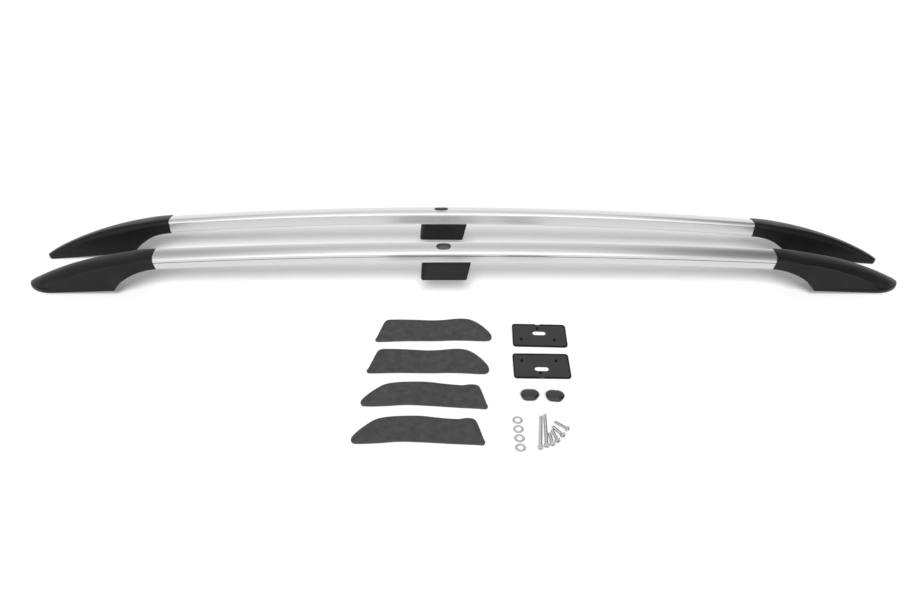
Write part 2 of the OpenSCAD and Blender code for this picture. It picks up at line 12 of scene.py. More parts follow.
import bmesh
import bpy
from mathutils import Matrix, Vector


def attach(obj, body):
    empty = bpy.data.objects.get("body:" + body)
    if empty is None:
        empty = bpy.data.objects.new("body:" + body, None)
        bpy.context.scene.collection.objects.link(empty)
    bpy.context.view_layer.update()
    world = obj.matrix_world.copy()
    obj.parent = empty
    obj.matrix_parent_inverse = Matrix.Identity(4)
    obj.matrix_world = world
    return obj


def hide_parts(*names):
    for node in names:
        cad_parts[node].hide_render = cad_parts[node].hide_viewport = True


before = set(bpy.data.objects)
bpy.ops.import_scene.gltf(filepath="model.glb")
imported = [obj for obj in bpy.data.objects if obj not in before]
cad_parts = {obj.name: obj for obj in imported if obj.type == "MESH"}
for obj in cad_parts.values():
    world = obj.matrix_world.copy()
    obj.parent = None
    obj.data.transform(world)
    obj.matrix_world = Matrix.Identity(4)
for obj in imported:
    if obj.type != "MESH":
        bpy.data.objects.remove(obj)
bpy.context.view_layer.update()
MM = 0.001

# %% [markdown]
# The camera
#
# The camera comes first, because every later choice is judged through it. It stands a little left
# of the middle, 1.6 m away, and looks down at 37 degrees. Its axis meets the picture 15 pixels left
# of the centre, so the sensor is shifted by that much, and the camera itself isn't turned sideways.

# %% Camera
PICTURE = (920, 613)
FOCAL_PX = 760
AXIS_PX = 445
SENSOR_MM = 36
CAMERA_DISTANCE = 1621 * MM
CAMERA_ELEVATION = math.radians(37.26)
LOOK_AT = Vector((-38.4, 84.45, 0)) * MM

camera = bpy.data.objects.new("camera", bpy.data.cameras.new("camera"))
bpy.context.scene.collection.objects.link(camera)
back = Vector((0, -math.cos(CAMERA_ELEVATION), math.sin(CAMERA_ELEVATION)))
camera.location = LOOK_AT + back * CAMERA_DISTANCE
camera.rotation_euler = (-back).to_track_quat("-Z", "Y").to_euler()
camera.data.sensor_width = SENSOR_MM
camera.data.lens = FOCAL_PX / PICTURE[0] * SENSOR_MM
camera.data.shift_x = (PICTURE[0] / 2 - AXIS_PX) / PICTURE[0]
camera.data.clip_end = 50
bpy.context.scene.camera = camera
bpy.context.scene.view_settings.view_transform = "Standard"
print("lens:", round(camera.data.lens, 2), "mm")

# %% [markdown]
# Colours and nodes
#
# Colours are written as the hex values a colour picker shows, which are sRGB. Shaders work in
# linear light, so one function converts them. A second small function adds a shader node, sets its
# options and sockets and links what feeds it, which keeps every material readable as a recipe.

# %% Colour and node helpers
def linear(hex_colour):
    """Turns an sRGB hex colour such as #C8CACC into linear red, green, blue and alpha."""
    parts = [int(hex_colour[i:i + 2], 16) / 255 for i in (1, 3, 5)]
    return tuple(c / 12.92 if c <= 0.04045 else ((c + 0.055) / 1.055) ** 2.4 for c in parts) + (1.0,)


def add_node(tree, kind, sockets=None, **options):
    """Adds a node. Each socket's value is a plain value or the output socket that feeds it."""
    node = tree.nodes.new(kind)
    for name, value in options.items():
        setattr(node, name, value)
    for name, value in (sockets or {}).items():
        if isinstance(value, bpy.types.NodeSocket):
            tree.links.new(value, node.inputs[name])
        else:
            node.inputs[name].default_value = value
    return node


def new_material(name):
    """Makes an empty node material and returns it with its tree."""
    material = bpy.data.materials.new(name)
    material.use_nodes = True
    material.node_tree.nodes.clear()
    return material, material.node_tree


def finish_material(tree, sockets):
    """Ends a recipe with the one physical surface shader and the output."""
    shader = add_node(tree, "ShaderNodeBsdfPrincipled", sockets)
    add_node(tree, "ShaderNodeOutputMaterial", {"Surface": shader.outputs["BSDF"]})
    return shader


def stretched_coords(tree, sizes_mm):
    """Object coordinates scaled so that one unit of texture is sizes_mm long on each axis."""
    place = add_node(tree, "ShaderNodeTexCoord")
    scale = tuple(1 / (s * MM) for s in sizes_mm)
    mapping = add_node(tree, "ShaderNodeMapping", {"Vector": place.outputs["Object"], "Scale": scale})
    return mapping.outputs["Vector"]


# %% [markdown]
# Light and floor
#
# The set stands on a white table in a bright room. Satin metal shows what surrounds it, so the room
# is drawn with care: brightest low down in front, dimmer half-way up behind, and dark far to the
# right. Only reflections see that room, and matte surfaces get an even light from all sides. One
# broad lamp in front draws the shadows. Reflections leave it out, because the room already holds
# its glow. The floor is a plain matte plane. It is lifted to white for the camera and in
# reflections, so that only the soft shadows show on it.

# %% World
world = bpy.data.worlds.new("studio")
bpy.context.scene.world = world
world.use_nodes = True
sky = world.node_tree
sky.nodes.clear()


def sky_math(operation, *values):
    """The result of a math node on one, two or three values."""
    node = add_node(sky, "ShaderNodeMath", dict(enumerate(values)), operation=operation)
    return node.outputs["Value"]


def sky_range(value, low, high, at_low, at_high):
    """Goes softly from one level to another while the value goes from low to high."""
    node = add_node(sky, "ShaderNodeMapRange", {
        "Value": value, "From Min": low, "From Max": high, "To Min": at_low, "To Max": at_high},
        interpolation_type="SMOOTHSTEP")
    return node.outputs["Result"]


# Over the set, tilt goes from 0 low in front through 0.5 overhead to 1 low down behind.
ROOM_LEVELS = ((0.11, 1.9), (0.3, 1.25), (0.43, 1.08), (0.62, 0.98), (0.67, 0.84), (0.7, 0.76),
               (0.74, 0.78), (0.78, 0.94), (0.83, 1.06), (0.9, 1.12))
LEVEL_IN_FRONT, LEVEL_BEHIND = 1.9, 1.2
LEFT_SHARE, RIGHT_SHARE = 0.6, 0.24
AMBIENT = 0.24
direction = add_node(sky, "ShaderNodeTexCoord").outputs["Generated"]
parts = add_node(sky, "ShaderNodeSeparateXYZ", {"Vector": direction})
towards_viewer = sky_math("MULTIPLY", parts.outputs["Y"], -1.0)
tilt = sky_math("DIVIDE", sky_math("ARCTAN2", parts.outputs["Z"], towards_viewer), math.pi)
levels = add_node(sky, "ShaderNodeValToRGB", {"Fac": tilt})
stops = levels.color_ramp.elements
stops[0].color = (LEVEL_IN_FRONT, LEVEL_IN_FRONT, LEVEL_IN_FRONT, 1)
stops[1].color = (LEVEL_BEHIND, LEVEL_BEHIND, LEVEL_BEHIND, 1)
for position, level in ROOM_LEVELS:
    stop = stops.new(position)
    stop.color = (level, level, level, 1)
sides = sky_math("MULTIPLY", sky_range(parts.outputs["X"], -0.5, -0.2, LEFT_SHARE, 1.0),
                 sky_range(parts.outputs["X"], 0.24, 0.46, 1.0, RIGHT_SHARE))
behind = sky_range(tilt, 0.7, 0.86, 0.0, 1.0)
room = sky_math("MULTIPLY", levels.outputs["Color"], sky_math("MAXIMUM", sides, behind))
rays = add_node(sky, "ShaderNodeLightPath")
on_object = add_node(sky, "ShaderNodeMix", {
    "Factor": rays.outputs["Is Glossy Ray"], "A": AMBIENT, "B": room}, data_type="FLOAT")
seen = add_node(sky, "ShaderNodeMix", {
    "Factor": rays.outputs["Is Camera Ray"], "A": on_object.outputs["Result"], "B": 1.0}, data_type="FLOAT")
background = add_node(sky, "ShaderNodeBackground", {
    "Color": (1, 1, 1, 1), "Strength": seen.outputs["Result"]})
add_node(sky, "ShaderNodeOutputWorld", {"Surface": background.outputs["Background"]})
print("room levels:", len(stops), "ambient:", AMBIENT)

# %% Lamp
LAMP_STRENGTH, LAMP_WIDTH = 3.5, math.radians(28)
LAMP_ELEVATION = math.radians(47)
lamp = bpy.data.objects.new("front_lamp", bpy.data.lights.new("front_lamp", "SUN"))
lamp.data.energy = LAMP_STRENGTH
lamp.data.angle = LAMP_WIDTH
lamp_from = Vector((-0.04, -math.cos(LAMP_ELEVATION), math.sin(LAMP_ELEVATION)))
lamp.rotation_euler = (-lamp_from).to_track_quat("-Z", "Y").to_euler()
lamp.visible_glossy = False
bpy.context.scene.collection.objects.link(lamp)
print("lamp height above the floor:", round(math.degrees(LAMP_ELEVATION)), "degrees")

# %% Floor
FLOOR_SIZE, FLOOR_DROP, FLOOR_LIFT = 40, 0.2 * MM, 0.2
floor_mesh = bpy.data.meshes.new("floor")
half = FLOOR_SIZE / 2
corners = [(-half, -half, 0), (half, -half, 0), (half, half, 0), (-half, half, 0)]
floor_mesh.from_pydata(corners, [], [(0, 1, 2, 3)])
floor = bpy.data.objects.new("floor", floor_mesh)
floor.location.z = -FLOOR_DROP
bpy.context.scene.collection.objects.link(floor)

matte_white, tree = new_material("white_table")
paint = add_node(tree, "ShaderNodeBsdfDiffuse", {"Color": (0.8, 0.8, 0.8, 1)})
rays = add_node(tree, "ShaderNodeLightPath")
camera_or_gloss = add_node(tree, "ShaderNodeMath", {
    0: rays.outputs["Is Camera Ray"], 1: rays.outputs["Is Glossy Ray"]}, operation="MAXIMUM")
shown = add_node(tree, "ShaderNodeMath", {
    0: camera_or_gloss.outputs["Value"], 1: rays.outputs["Is Transmission Ray"]}, operation="MAXIMUM")
lift = add_node(tree, "ShaderNodeMath", {0: shown.outputs["Value"], 1: FLOOR_LIFT}, operation="MULTIPLY")
glow = add_node(tree, "ShaderNodeEmission", {"Color": (1, 1, 1, 1), "Strength": lift.outputs["Value"]})
table_top = add_node(tree, "ShaderNodeAddShader", {0: paint.outputs["BSDF"], 1: glow.outputs["Emission"]})
add_node(tree, "ShaderNodeOutputMaterial", {"Surface": table_top.outputs["Shader"]})
floor_mesh.materials.append(matte_white)
print("floor:", FLOOR_SIZE, "m wide")

# %% [markdown]
# Satin anodised aluminium
#
# The tubes are extruded, brushed along their length, and anodised clear. Extrusion and brushing
# leave fine lines along X, which blur reflections across them more than along them. The lines are
# a few hundredths of a millimetre wide on the real tube. Here they are drawn 0.4 mm wide, so that
# they still show, and they change the roughness a little and the height hardly at all.

# %% Aluminium
def satin_anodised_aluminium():
    material, tree = new_material("satin_anodised_aluminium")
    lines = add_node(tree, "ShaderNodeTexNoise", {
        "Vector": stretched_coords(tree, (160, 0.4, 0.4)), "Scale": 1.0, "Detail": 4.0, "Roughness": 0.6})
    clouds = add_node(tree, "ShaderNodeTexNoise", {
        "Vector": stretched_coords(tree, (220, 40, 40)), "Scale": 1.0, "Detail": 2.0})
    tint = add_node(tree, "ShaderNodeMix", {
        "Factor": clouds.outputs["Fac"], "A": linear("#D3D3D4"), "B": linear("#D9D9DA")}, data_type="RGBA")
    sheen = add_node(tree, "ShaderNodeMapRange", {
        "Value": lines.outputs["Fac"], "To Min": 0.2, "To Max": 0.28})
    relief = add_node(tree, "ShaderNodeBump", {
        "Height": lines.outputs["Fac"], "Strength": 0.02, "Distance": 0.02 * MM})
    finish_material(tree, {
        "Base Color": tint.outputs["Result"], "Metallic": 1.0,
        "Roughness": sheen.outputs["Result"], "Normal": relief.outputs["Normal"]})
    return material


# %% [markdown]
# Moulded black parts
#
# The feet are injection moulded in glass-filled nylon, in a tool that was etched with a fine
# grain. Such a surface is nearly black, and what the eye reads is a soft grey sheen broken up by
# the grain. The real grain is about 0.3 mm across and is drawn at 0.9 mm, so that it shows. The
# hole plugs come from a polished tool in the same kind of plastic, and shine more.

# %% Nylon
def grained_plastic(name, dark, light, grain_mm, rough, depth_mm, shine=0.36):
    """Moulded plastic: colour drifts between dark and light, and an etched grain breaks the sheen."""
    material, tree = new_material(name)
    grain = add_node(tree, "ShaderNodeTexVoronoi", {
        "Vector": stretched_coords(tree, (grain_mm,) * 3), "Scale": 1.0}, feature="SMOOTH_F1")
    drift = add_node(tree, "ShaderNodeTexNoise", {
        "Vector": stretched_coords(tree, (35, 35, 35)), "Scale": 1.0, "Detail": 5.0})
    tint = add_node(tree, "ShaderNodeMix", {
        "Factor": drift.outputs["Fac"], "A": linear(dark), "B": linear(light)}, data_type="RGBA")
    gloss = add_node(tree, "ShaderNodeMapRange", {
        "Value": drift.outputs["Fac"], "To Min": rough - 0.08, "To Max": rough + 0.08})
    relief = add_node(tree, "ShaderNodeBump", {
        "Height": grain.outputs["Distance"], "Strength": 0.35, "Distance": depth_mm * MM})
    finish_material(tree, {
        "Base Color": tint.outputs["Result"], "Roughness": gloss.outputs["Result"],
        "IOR": 1.5, "Specular IOR Level": shine, "Normal": relief.outputs["Normal"]})
    return material


# %% [markdown]
# Foam and rubber
#
# The pads are cut from a sheet of closed-cell EPDM foam: dark grey, matte, with a skin full of
# tiny cells and faint mottling. The cells are about 0.4 mm across and are drawn at 1.3 mm, so that
# they show. The gaskets are moulded rubber, darker and a little smoother, and they use the recipe
# of the moulded plastic. Their rims and pegs are smoother still, and their colour is painted
# nearly black as painted shade, for the dark outline of the rim and the dark spots at the pegs.

# %% Foam
def closed_cell_foam():
    material, tree = new_material("closed_cell_epdm_foam")
    cells = add_node(tree, "ShaderNodeTexVoronoi", {
        "Vector": stretched_coords(tree, (1.3, 1.3, 1.3)), "Scale": 1.0})
    mottle = add_node(tree, "ShaderNodeTexNoise", {
        "Vector": stretched_coords(tree, (14, 14, 14)), "Scale": 1.0, "Detail": 6.0, "Roughness": 0.65})
    patches = add_node(tree, "ShaderNodeMapRange", {
        "Value": mottle.outputs["Fac"], "From Min": 0.3, "From Max": 0.7})
    tint = add_node(tree, "ShaderNodeMix", {
        "Factor": patches.outputs["Result"], "A": linear("#3F3F3F"), "B": linear("#505050")},
        data_type="RGBA")
    height = add_node(tree, "ShaderNodeMath", {
        0: cells.outputs["Distance"], 1: mottle.outputs["Fac"]}, operation="ADD")
    relief = add_node(tree, "ShaderNodeBump", {
        "Height": height.outputs["Value"], "Strength": 0.5, "Distance": 0.25 * MM})
    finish_material(tree, {
        "Base Color": tint.outputs["Result"], "Roughness": 0.9, "IOR": 1.45,
        "Specular IOR Level": 0.3, "Normal": relief.outputs["Normal"]})
    return material


# %% [markdown]
# Zinc-plated steel and brass
#
# Screws, washers and sleeves are steel with a bright zinc plate. The plate is thin and a little
# uneven, so its shine drifts from mirror to satin in patches about a millimetre across. The
# threaded inserts are turned brass and hardly show, so the same recipe with smaller patches does
# for them. Duller, and with an oxide that makes it less of a mirror, it also gives the bare mill
# finish that the aluminium has inside the tubes.

# %% Plated and turned metal
def plated_metal(name, dark, light, patch_mm, smooth, rough, metallic=1.0):
    """Metal whose colour and shine drift together in patches."""
    material, tree = new_material(name)
    patches = add_node(tree, "ShaderNodeTexNoise", {
        "Vector": stretched_coords(tree, (patch_mm,) * 3), "Scale": 1.0, "Detail": 5.0, "Roughness": 0.6})
    tint = add_node(tree, "ShaderNodeMix", {
        "Factor": patches.outputs["Fac"], "A": linear(dark), "B": linear(light)}, data_type="RGBA")
    shine = add_node(tree, "ShaderNodeMapRange", {
        "Value": patches.outputs["Fac"], "To Min": smooth, "To Max": rough})
    relief = add_node(tree, "ShaderNodeBump", {
        "Height": patches.outputs["Fac"], "Strength": 0.04, "Distance": 0.02 * MM})
    finish_material(tree, {
        "Base Color": tint.outputs["Result"], "Metallic": metallic,
        "Roughness": shine.outputs["Result"], "Normal": relief.outputs["Normal"]})
    return material


aluminium = satin_anodised_aluminium()
mill_finish = plated_metal("dull_mill_finish_aluminium", "#8A8A8B", "#9C9C9D", 3.0, 0.5, 0.7, 0.4)
nylon = grained_plastic("grained_black_nylon", "#080808", "#161616", 0.9, 0.38, 0.1, 0.24)
glossy_plastic = grained_plastic("polished_black_plastic", "#101010", "#181818", 2.0, 0.2, 0.02, 0.7)
rubber = grained_plastic("moulded_black_rubber", "#2A2A2A", "#3A3A3A", 0.8, 0.62, 0.1)
# Rims and pegs: the same rubber, a little smoother, with painted shade: a nearly black colour that draws the
# rim's dark outline and the dark spots at the pegs.
painted_shade_rim_rubber = grained_plastic("smooth_rubber_rim_painted_shade", "#060606", "#0E0E0E", 0.8, 0.5, 0.05, 0.15)
foam = closed_cell_foam()
zinc = plated_metal("zinc_plated_steel", "#B6B6B7", "#DADADB", 1.1, 0.12, 0.26)
brass = plated_metal("turned_brass", "#B08A3C", "#CBA75A", 0.8, 0.2, 0.35)
print("materials:", len(bpy.data.materials))

# %% [markdown]
# Placing pieces
#
# Each rail is drawn once in its own frame, in millimetres: X along it, +Y its outer side. The
# right-hand rail is then turned a little and moved back, and the left-hand one is mirrored. A
# mirrored mesh turns inside out, so every new mesh has its faces turned outward again.

# %% Placing helpers
PAIR_GAP = 146
PAIR_YAW = math.radians(0.62)
PAIR_SHIFT = 2.8
PAIR_BACK = 142.7


def place(points, side, front=False):
    """Moves points of a rail's own frame into the layout."""
    out = []
    for x, y, z in points:
        x = -x if front else x
        if side == "left":
            out.append((x + PAIR_SHIFT, PAIR_BACK - y, z))
        else:
            out.append((x * math.cos(PAIR_YAW) + y * math.sin(PAIR_YAW) - PAIR_SHIFT,
                        y * math.cos(PAIR_YAW) - x * math.sin(PAIR_YAW) + PAIR_BACK + PAIR_GAP, z))
    return out


def new_piece(name, points, faces):
    """Makes a mesh object from points in millimetres, with every face turned outward."""
    mesh = bpy.data.meshes.new(name)
    mesh.from_pydata([(x * MM, y * MM, z * MM) for x, y, z in points], [], faces)
    turned = bmesh.new()
    turned.from_mesh(mesh)
    bmesh.ops.recalc_face_normals(turned, faces=turned.faces)
    turned.to_mesh(mesh)
    turned.free()
    piece = bpy.data.objects.new(name, mesh)
    bpy.context.scene.collection.objects.link(piece)
    return piece


def combine(operation, piece, others):
    """Joins the others to the piece or takes them out of it, and removes them."""
    for other in others:
        step = piece.modifiers.new("combine", "BOOLEAN")
        step.operation = operation
        step.solver = "EXACT"
        step.object = other
    bpy.context.view_layer.update()
    shaped = piece.evaluated_get(bpy.context.evaluated_depsgraph_get())
    mesh = bpy.data.meshes.new_from_object(shaped)
    piece.modifiers.clear()
    old, piece.data = piece.data, mesh
    bpy.data.meshes.remove(old)
    mesh.name = piece.name
    for other in others:
        bpy.data.meshes.remove(other.data)
    return piece


def cut(piece, *others):
    return combine("DIFFERENCE", piece, others)


def join(piece, *others):
    return combine("UNION", piece, others)


def shape_of(piece):
    """Takes a finished mesh apart into points in millimetres and faces, and removes its object."""
    mesh = piece.data
    shape = [tuple(v.co / MM) for v in mesh.vertices], [tuple(face.vertices) for face in mesh.polygons]
    bpy.data.meshes.remove(mesh)
    return shape


def finish_piece(piece, material, slot, *nodes, sharp=32):
    """Shades the piece, gives it its finish and lets it stand for its nodes of the frame."""
    piece.data.materials.clear()
    piece.data.materials.append(material)
    piece.data.shade_smooth()
    piece.data.set_sharp_from_angle(angle=math.radians(sharp))
    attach(piece, "root")
    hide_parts(*nodes)
    print(piece.name, len(piece.data.polygons), "faces")
    return piece


# %% Skins over rings
def skin(rings, caps=True):
    """Points and faces of a closed skin over rings that have equal counts of points."""
    count = len(rings[0])
    points = [p for ring in rings for p in ring]
    faces = []
    for j in range(len(rings) - 1):
        for i in range(count):
            k = (i + 1) % count
            faces.append((j * count + i, (j + 1) * count + i, (j + 1) * count + k, j * count + k))
    if caps:
        faces.append(tuple(range(count)))
        faces.append(tuple((len(rings) - 1) * count + i for i in reversed(range(count))))
    return points, faces


def rod(radius, levels, where, steps=48):
    """A round rod whose ends lie at the levels, in the frame that the function where describes."""
    angles = [2 * math.pi * i / steps for i in range(steps)]
    return skin([[where(radius * math.cos(t), radius * math.sin(t), z) for t in angles] for z in levels])


def rounded(ring, radii, steps=4):
    """Replaces each corner of a ring by a short curve that starts its radius away on both sides."""
    out = []
    count = len(ring)
    for i, r in enumerate(radii):
        corner = Vector(ring[i])
        before = Vector(ring[i - 1]) - corner
        after = Vector(ring[(i + 1) % count]) - corner
        if r <= 0:
            out.append(tuple(corner))
            continue
        a = corner + before * min(0.45, r / max(before.length, 1e-6))
        b = corner + after * min(0.45, r / max(after.length, 1e-6))
        for j in range(steps + 1):
            t = j / steps
            out.append(tuple(a * (1 - t) ** 2 + corner * 2 * t * (1 - t) + b * t * t))
    return out


# %% [markdown]
# The line of a rail
#
# A rail bows upward and outward at once, so its line is one circular arc in a leaning plane. The
# tube was bent after extrusion, which is why its section stays the same all along. Everything on
# a rail is placed by an angle on that arc and by two distances, out and up, in the section. The
# section has a flat bottom, a gently curved crown, and a narrow groove along each side. Just above
# a groove the shoulder curls over, and that curl is the bright line that runs along the tube.

# %% Rail line
RAIL_SPAN, RAIL_RISE, RAIL_SWEEP_OUT, RAIL_END_HEIGHT = 1316, 22.2, 7.3, 65.5
RAIL_LEAN = math.radians(8.7)
RAIL_W, RAIL_H, RAIL_WALL = 37.5, 31, 2.4
CROWN_R, LOWER_EDGE_R = 80, 3.5
GROOVE_OUT_Z, GROOVE_IN_Z, GROOVE_H, GROOVE_D = 17.7, 20.4, 1.7, 1.6

bow = math.hypot(RAIL_RISE, RAIL_SWEEP_OUT)
ARC_R = ((RAIL_SPAN / 2) ** 2 + bow * bow) / (2 * bow)
ARC_LEAN = math.atan2(RAIL_SWEEP_OUT, RAIL_RISE)
ARC_END = math.asin(RAIL_SPAN / 2 / ARC_R)
ARC_TOP_Z = RAIL_END_HEIGHT + RAIL_RISE
SECTION_TURN = ARC_LEAN - RAIL_LEAN


def rail_point(a, u, v):
    """The point at angle a on the arc, u outward and v up in the section."""
    up = v * math.cos(SECTION_TURN) + u * math.sin(SECTION_TURN)
    out = u * math.cos(SECTION_TURN) - v * math.sin(SECTION_TURN)
    drop = (ARC_R + up) * math.cos(a) - ARC_R
    return ((ARC_R + up) * math.sin(a),
            drop * math.sin(ARC_LEAN) + out * math.cos(ARC_LEAN),
            ARC_TOP_Z + drop * math.cos(ARC_LEAN) - out * math.sin(ARC_LEAN))


def arc_points(centre, radius, start, end, steps):
    """Points on a circle from one angle to another, in degrees, both ends included."""
    angles = [math.radians(start + (end - start) * i / steps) for i in range(steps + 1)]
    return [(centre[0] + radius * math.cos(t), centre[1] + radius * math.sin(t)) for t in angles]


def half_section(inset, groove, groove_z):
    """Half of the section, from the bottom round to the crown. Its shoulder ends above the groove."""
    crown, crown_z = CROWN_R - inset, RAIL_H - CROWN_R
    half_w = RAIL_W / 2 - inset
    rise = groove_z + GROOVE_H - crown_z
    shoulder = (crown * crown - half_w * half_w - rise * rise) / (2 * (crown - half_w))
    low = max(0.8, LOWER_EDGE_R - inset)
    centre_u = half_w - shoulder
    meet = math.degrees(math.atan2(rise, centre_u))
    outline = [(i * (half_w - low) / 4, inset) for i in range(1, 4)]
    outline += arc_points((half_w - low, inset + low), low, -90, 0, 5)
    outline += [(half_w, groove_z / 2), (half_w, groove_z), (half_w - groove, groove_z + 0.05),
                (half_w - groove, groove_z + GROOVE_H - 0.05)]
    outline += arc_points((centre_u, crown_z + rise), shoulder, 0, meet, 8)
    return outline + arc_points((0, crown_z), crown, meet, 90, 10)[1:]


def rail_section(inset, groove):
    """The whole section. The groove runs lower on the outer side than on the inner side."""
    outer, inner = half_section(inset, groove, GROOVE_OUT_Z), half_section(inset, groove, GROOVE_IN_Z)
    return outer + [(-u, z) for u, z in reversed(inner[:-1])] + [(0, inset)]


print("rail arc radius:", round(ARC_R), "mm, section points:", len(rail_section(0, GROOVE_D)))

# %% [markdown]
# The tubes
#
# A tube is two skins, the outer and the inner wall, swept along the arc and joined at both ends.
# The oval access hole is cut through the top with a Boolean. Its cutter flares at the top and
# follows the crown, so that the hole gets the small chamfer of a deburred edge. The hole is cut
# after the anodising and the inside was never polished, so both show the dull mill finish, as a
# second material on those faces.

# %% Tubes
MIDDLE_X = -44
HOLE_LEN, HOLE_W = 30, 20
STATIONS = 120
MIDDLE_A = math.asin(MIDDLE_X / ARC_R)
BOLT_Y = rail_point(MIDDLE_A, 0, 0)[1]
MIDDLE_BOSS_D, MIDDLE_SCREW_DX = 16, 31.04
TONGUE_A = math.asin(60 / ARC_R)
TAPPER_A = ARC_END - TONGUE_A * 0.45
TAPPER_D = 4.2


def stadium(length, width, steps=12):
    """An oval outline with straight sides along X."""
    r = width / 2
    half = (length - width) / 2
    return arc_points((half, 0), r, -90, 90, steps) + arc_points((-half, 0), r, 90, 270, steps)


def rail_mesh():
    outer, inner = rail_section(0, GROOVE_D), rail_section(RAIL_WALL, 0)
    count = len(outer)
    angles = [ARC_END * (2 * i / STATIONS - 1) for i in range(STATIONS + 1)]
    points, faces = skin([[rail_point(a, u, v) for u, v in outer] for a in angles], caps=False)
    shift = len(points)
    more, inner_faces = skin([[rail_point(a, u, v) for u, v in inner] for a in angles], caps=False)
    faces += [tuple(shift + i for i in reversed(face)) for face in inner_faces]
    last = STATIONS * count
    for i in range(count):
        k = (i + 1) % count
        faces.append((i, k, shift + k, shift + i))
        faces.append((last + k, last + i, shift + last + i, shift + last + k))
    return points + more, [tuple(reversed(face)) for face in faces]


def hole_cutter():
    """Rings of the hole's outline in the rail's frame. Near the top they follow the crown."""
    rings = []
    levels = ((RAIL_H / 2, 0, 0), (RAIL_H - 0.7, 0, 1), (RAIL_H + 0.4, 1.1, 1), (RAIL_H + 4, 1.1, 1))
    for v, grow, on_crown in levels:
        ring = []
        for x, u in stadium(HOLE_LEN + 2 * grow, HOLE_W + 2 * grow):
            sag = on_crown * u * u / (2 * CROWN_R)
            ring.append(rail_point(MIDDLE_A + x / ARC_R, u, v - sag))
        rings.append(ring)
    return skin(rings)


def on_rail(a, along=0):
    """The section's frame at angle a and the distance along from there, as a function of a point."""
    return lambda x, u, v: rail_point(a + (along + x) / ARC_R, u, v)


def upright(x0, y0):
    return lambda x, y, z: (x0 + x, y0 + y, z)


def piece_on(side, name, shape, front=False):
    """Makes a piece from points and faces that are drawn in a rail's own frame."""
    return new_piece(name, place(shape[0], side, front), shape[1])


holes = [new_piece("hole", *hole_cutter()),
         new_piece("hole", *rod(MIDDLE_BOSS_D / 2 + 0.2, (70, ARC_TOP_Z + 10), upright(MIDDLE_X, BOLT_Y)))]
screw_spots = [on_rail(MIDDLE_A, -MIDDLE_SCREW_DX), on_rail(MIDDLE_A, MIDDLE_SCREW_DX),
               on_rail(TAPPER_A), on_rail(-TAPPER_A)]
for spot in screw_spots:
    holes.append(new_piece("hole", *rod(TAPPER_D / 2 + 0.1, (-1, RAIL_WALL + 1), spot, 24)))
tube = cut(new_piece("tube", *rail_mesh()), *holes)


CROWN_NORMAL_Z = 0.93


def is_raw(face):
    """True inside the tube and on the access hole's edge."""
    x = face.center.x / MM
    middle = Vector(rail_point(math.asin(x / ARC_R), 0, RAIL_H / 2))
    out = face.center / MM - middle
    inside = out.dot(face.normal) < -2
    at_hole = abs(x - MIDDLE_X) < HOLE_LEN / 2 + 1.2 and abs(out.y) < HOLE_W / 2 + 3 and out.z > 0
    return inside or (at_hole and face.normal.z < CROWN_NORMAL_Z)


raw_faces = [is_raw(face) for face in tube.data.polygons]
tube_shape = shape_of(tube)
for side in ("left", "right"):
    tube = finish_piece(piece_on(side, f"{side}_rail_tube", tube_shape), aluminium, "silver_rail",
                        f"{side}_rail", sharp=40)
    tube.data.materials.append(mill_finish)
    for face, raw in zip(tube.data.polygons, raw_faces):
        face.material_index = 1 if raw else 0

# %% [markdown]
# The end feet
#
# An end foot is one moulded shell. It starts as a thin rounded tip, widens over the flat base,
# rises through an arch and closes round the tube as a collar. A crease carries the tube's side
# groove down to the tip. Nothing about it is straight, so it is drawn as a loft: a ring of points
# is worked out for each distance from the tip, its corners are rounded, and a skin joins the
# rings. Over the last stretch each ring blends into the collar's own outline. The rings slant a
# little in plan, so that the base ends on a skewed edge. Underneath, the moulding is hollow
# between ribs, and a tongue reaches into the tube.

# %% Lines of an end foot
FOOT_LEN, BASE_LEN, BASE_SKEW = 299, 203, 4
BASE_SLOPE = math.tan(math.radians(4.6))
BASE_OUT, BASE_IN = 12.6, 33.5
LIP_TIP, LIP_END, LIP_STEP = 8, 3, 1.3
TIP_H, TIP_RUN, TIP_WIDTH, INNER_RUN = 9, 60, 2, 12
COLLAR, COLLAR_RUN, COLLAR_CREASE = 1.2, 72, 20.5
ARCH_RUN, ARCH_STEP, ARCH_RISE = 3, 6, 1.3
CREASE_START, CREASE_RISE = (45, 11), 0.58
FOOT_WALL, RIB_T = 3.5, 2.6
INSERT_FROM_TIP, INSERT_D, INSERT_LEN, BOSS_D = 142, 9, 12, 17

rail_end = Vector(rail_point(ARC_END, 0, 0))
rail_dir = Vector((math.cos(ARC_END), -math.sin(ARC_END) * math.sin(ARC_LEAN),
                   -math.sin(ARC_END) * math.cos(ARC_LEAN)))
RAIL_SLOPE = -rail_dir.z / rail_dir.x
TIP_X = rail_end.x + FOOT_LEN
ARCH_TOP = rail_point(ARC_END, RAIL_W / 2, 0)[2] - COLLAR
TOP_END = rail_point(ARC_END, 0, RAIL_H)[2] + COLLAR - 1
CREASE_END = rail_point(ARC_END, RAIL_W / 2, COLLAR_CREASE)[2] + 3


def mix(a, b, t):
    return a + (b - a) * t


def smooth(t):
    t = min(1, max(0, t))
    return t * t * (3 - 2 * t)


def swoop(s, start, start_slope, end, end_slope):
    """Height at s of the curve that leaves start and reaches end with the given slopes."""
    turn_s = (end[1] - end_slope * end[0] - start[1] + start_slope * start[0]) / (start_slope - end_slope)
    turn_z = start[1] + start_slope * (turn_s - start[0])
    a, b, c = start[0] - 2 * turn_s + end[0], 2 * (turn_s - start[0]), start[0] - s
    t = (math.sqrt(max(0, b * b - 4 * a * c)) - b) / (2 * a)
    return (1 - t) ** 2 * start[1] + 2 * t * (1 - t) * turn_z + t * t * end[1]


def base_z(s):
    return s * BASE_SLOPE


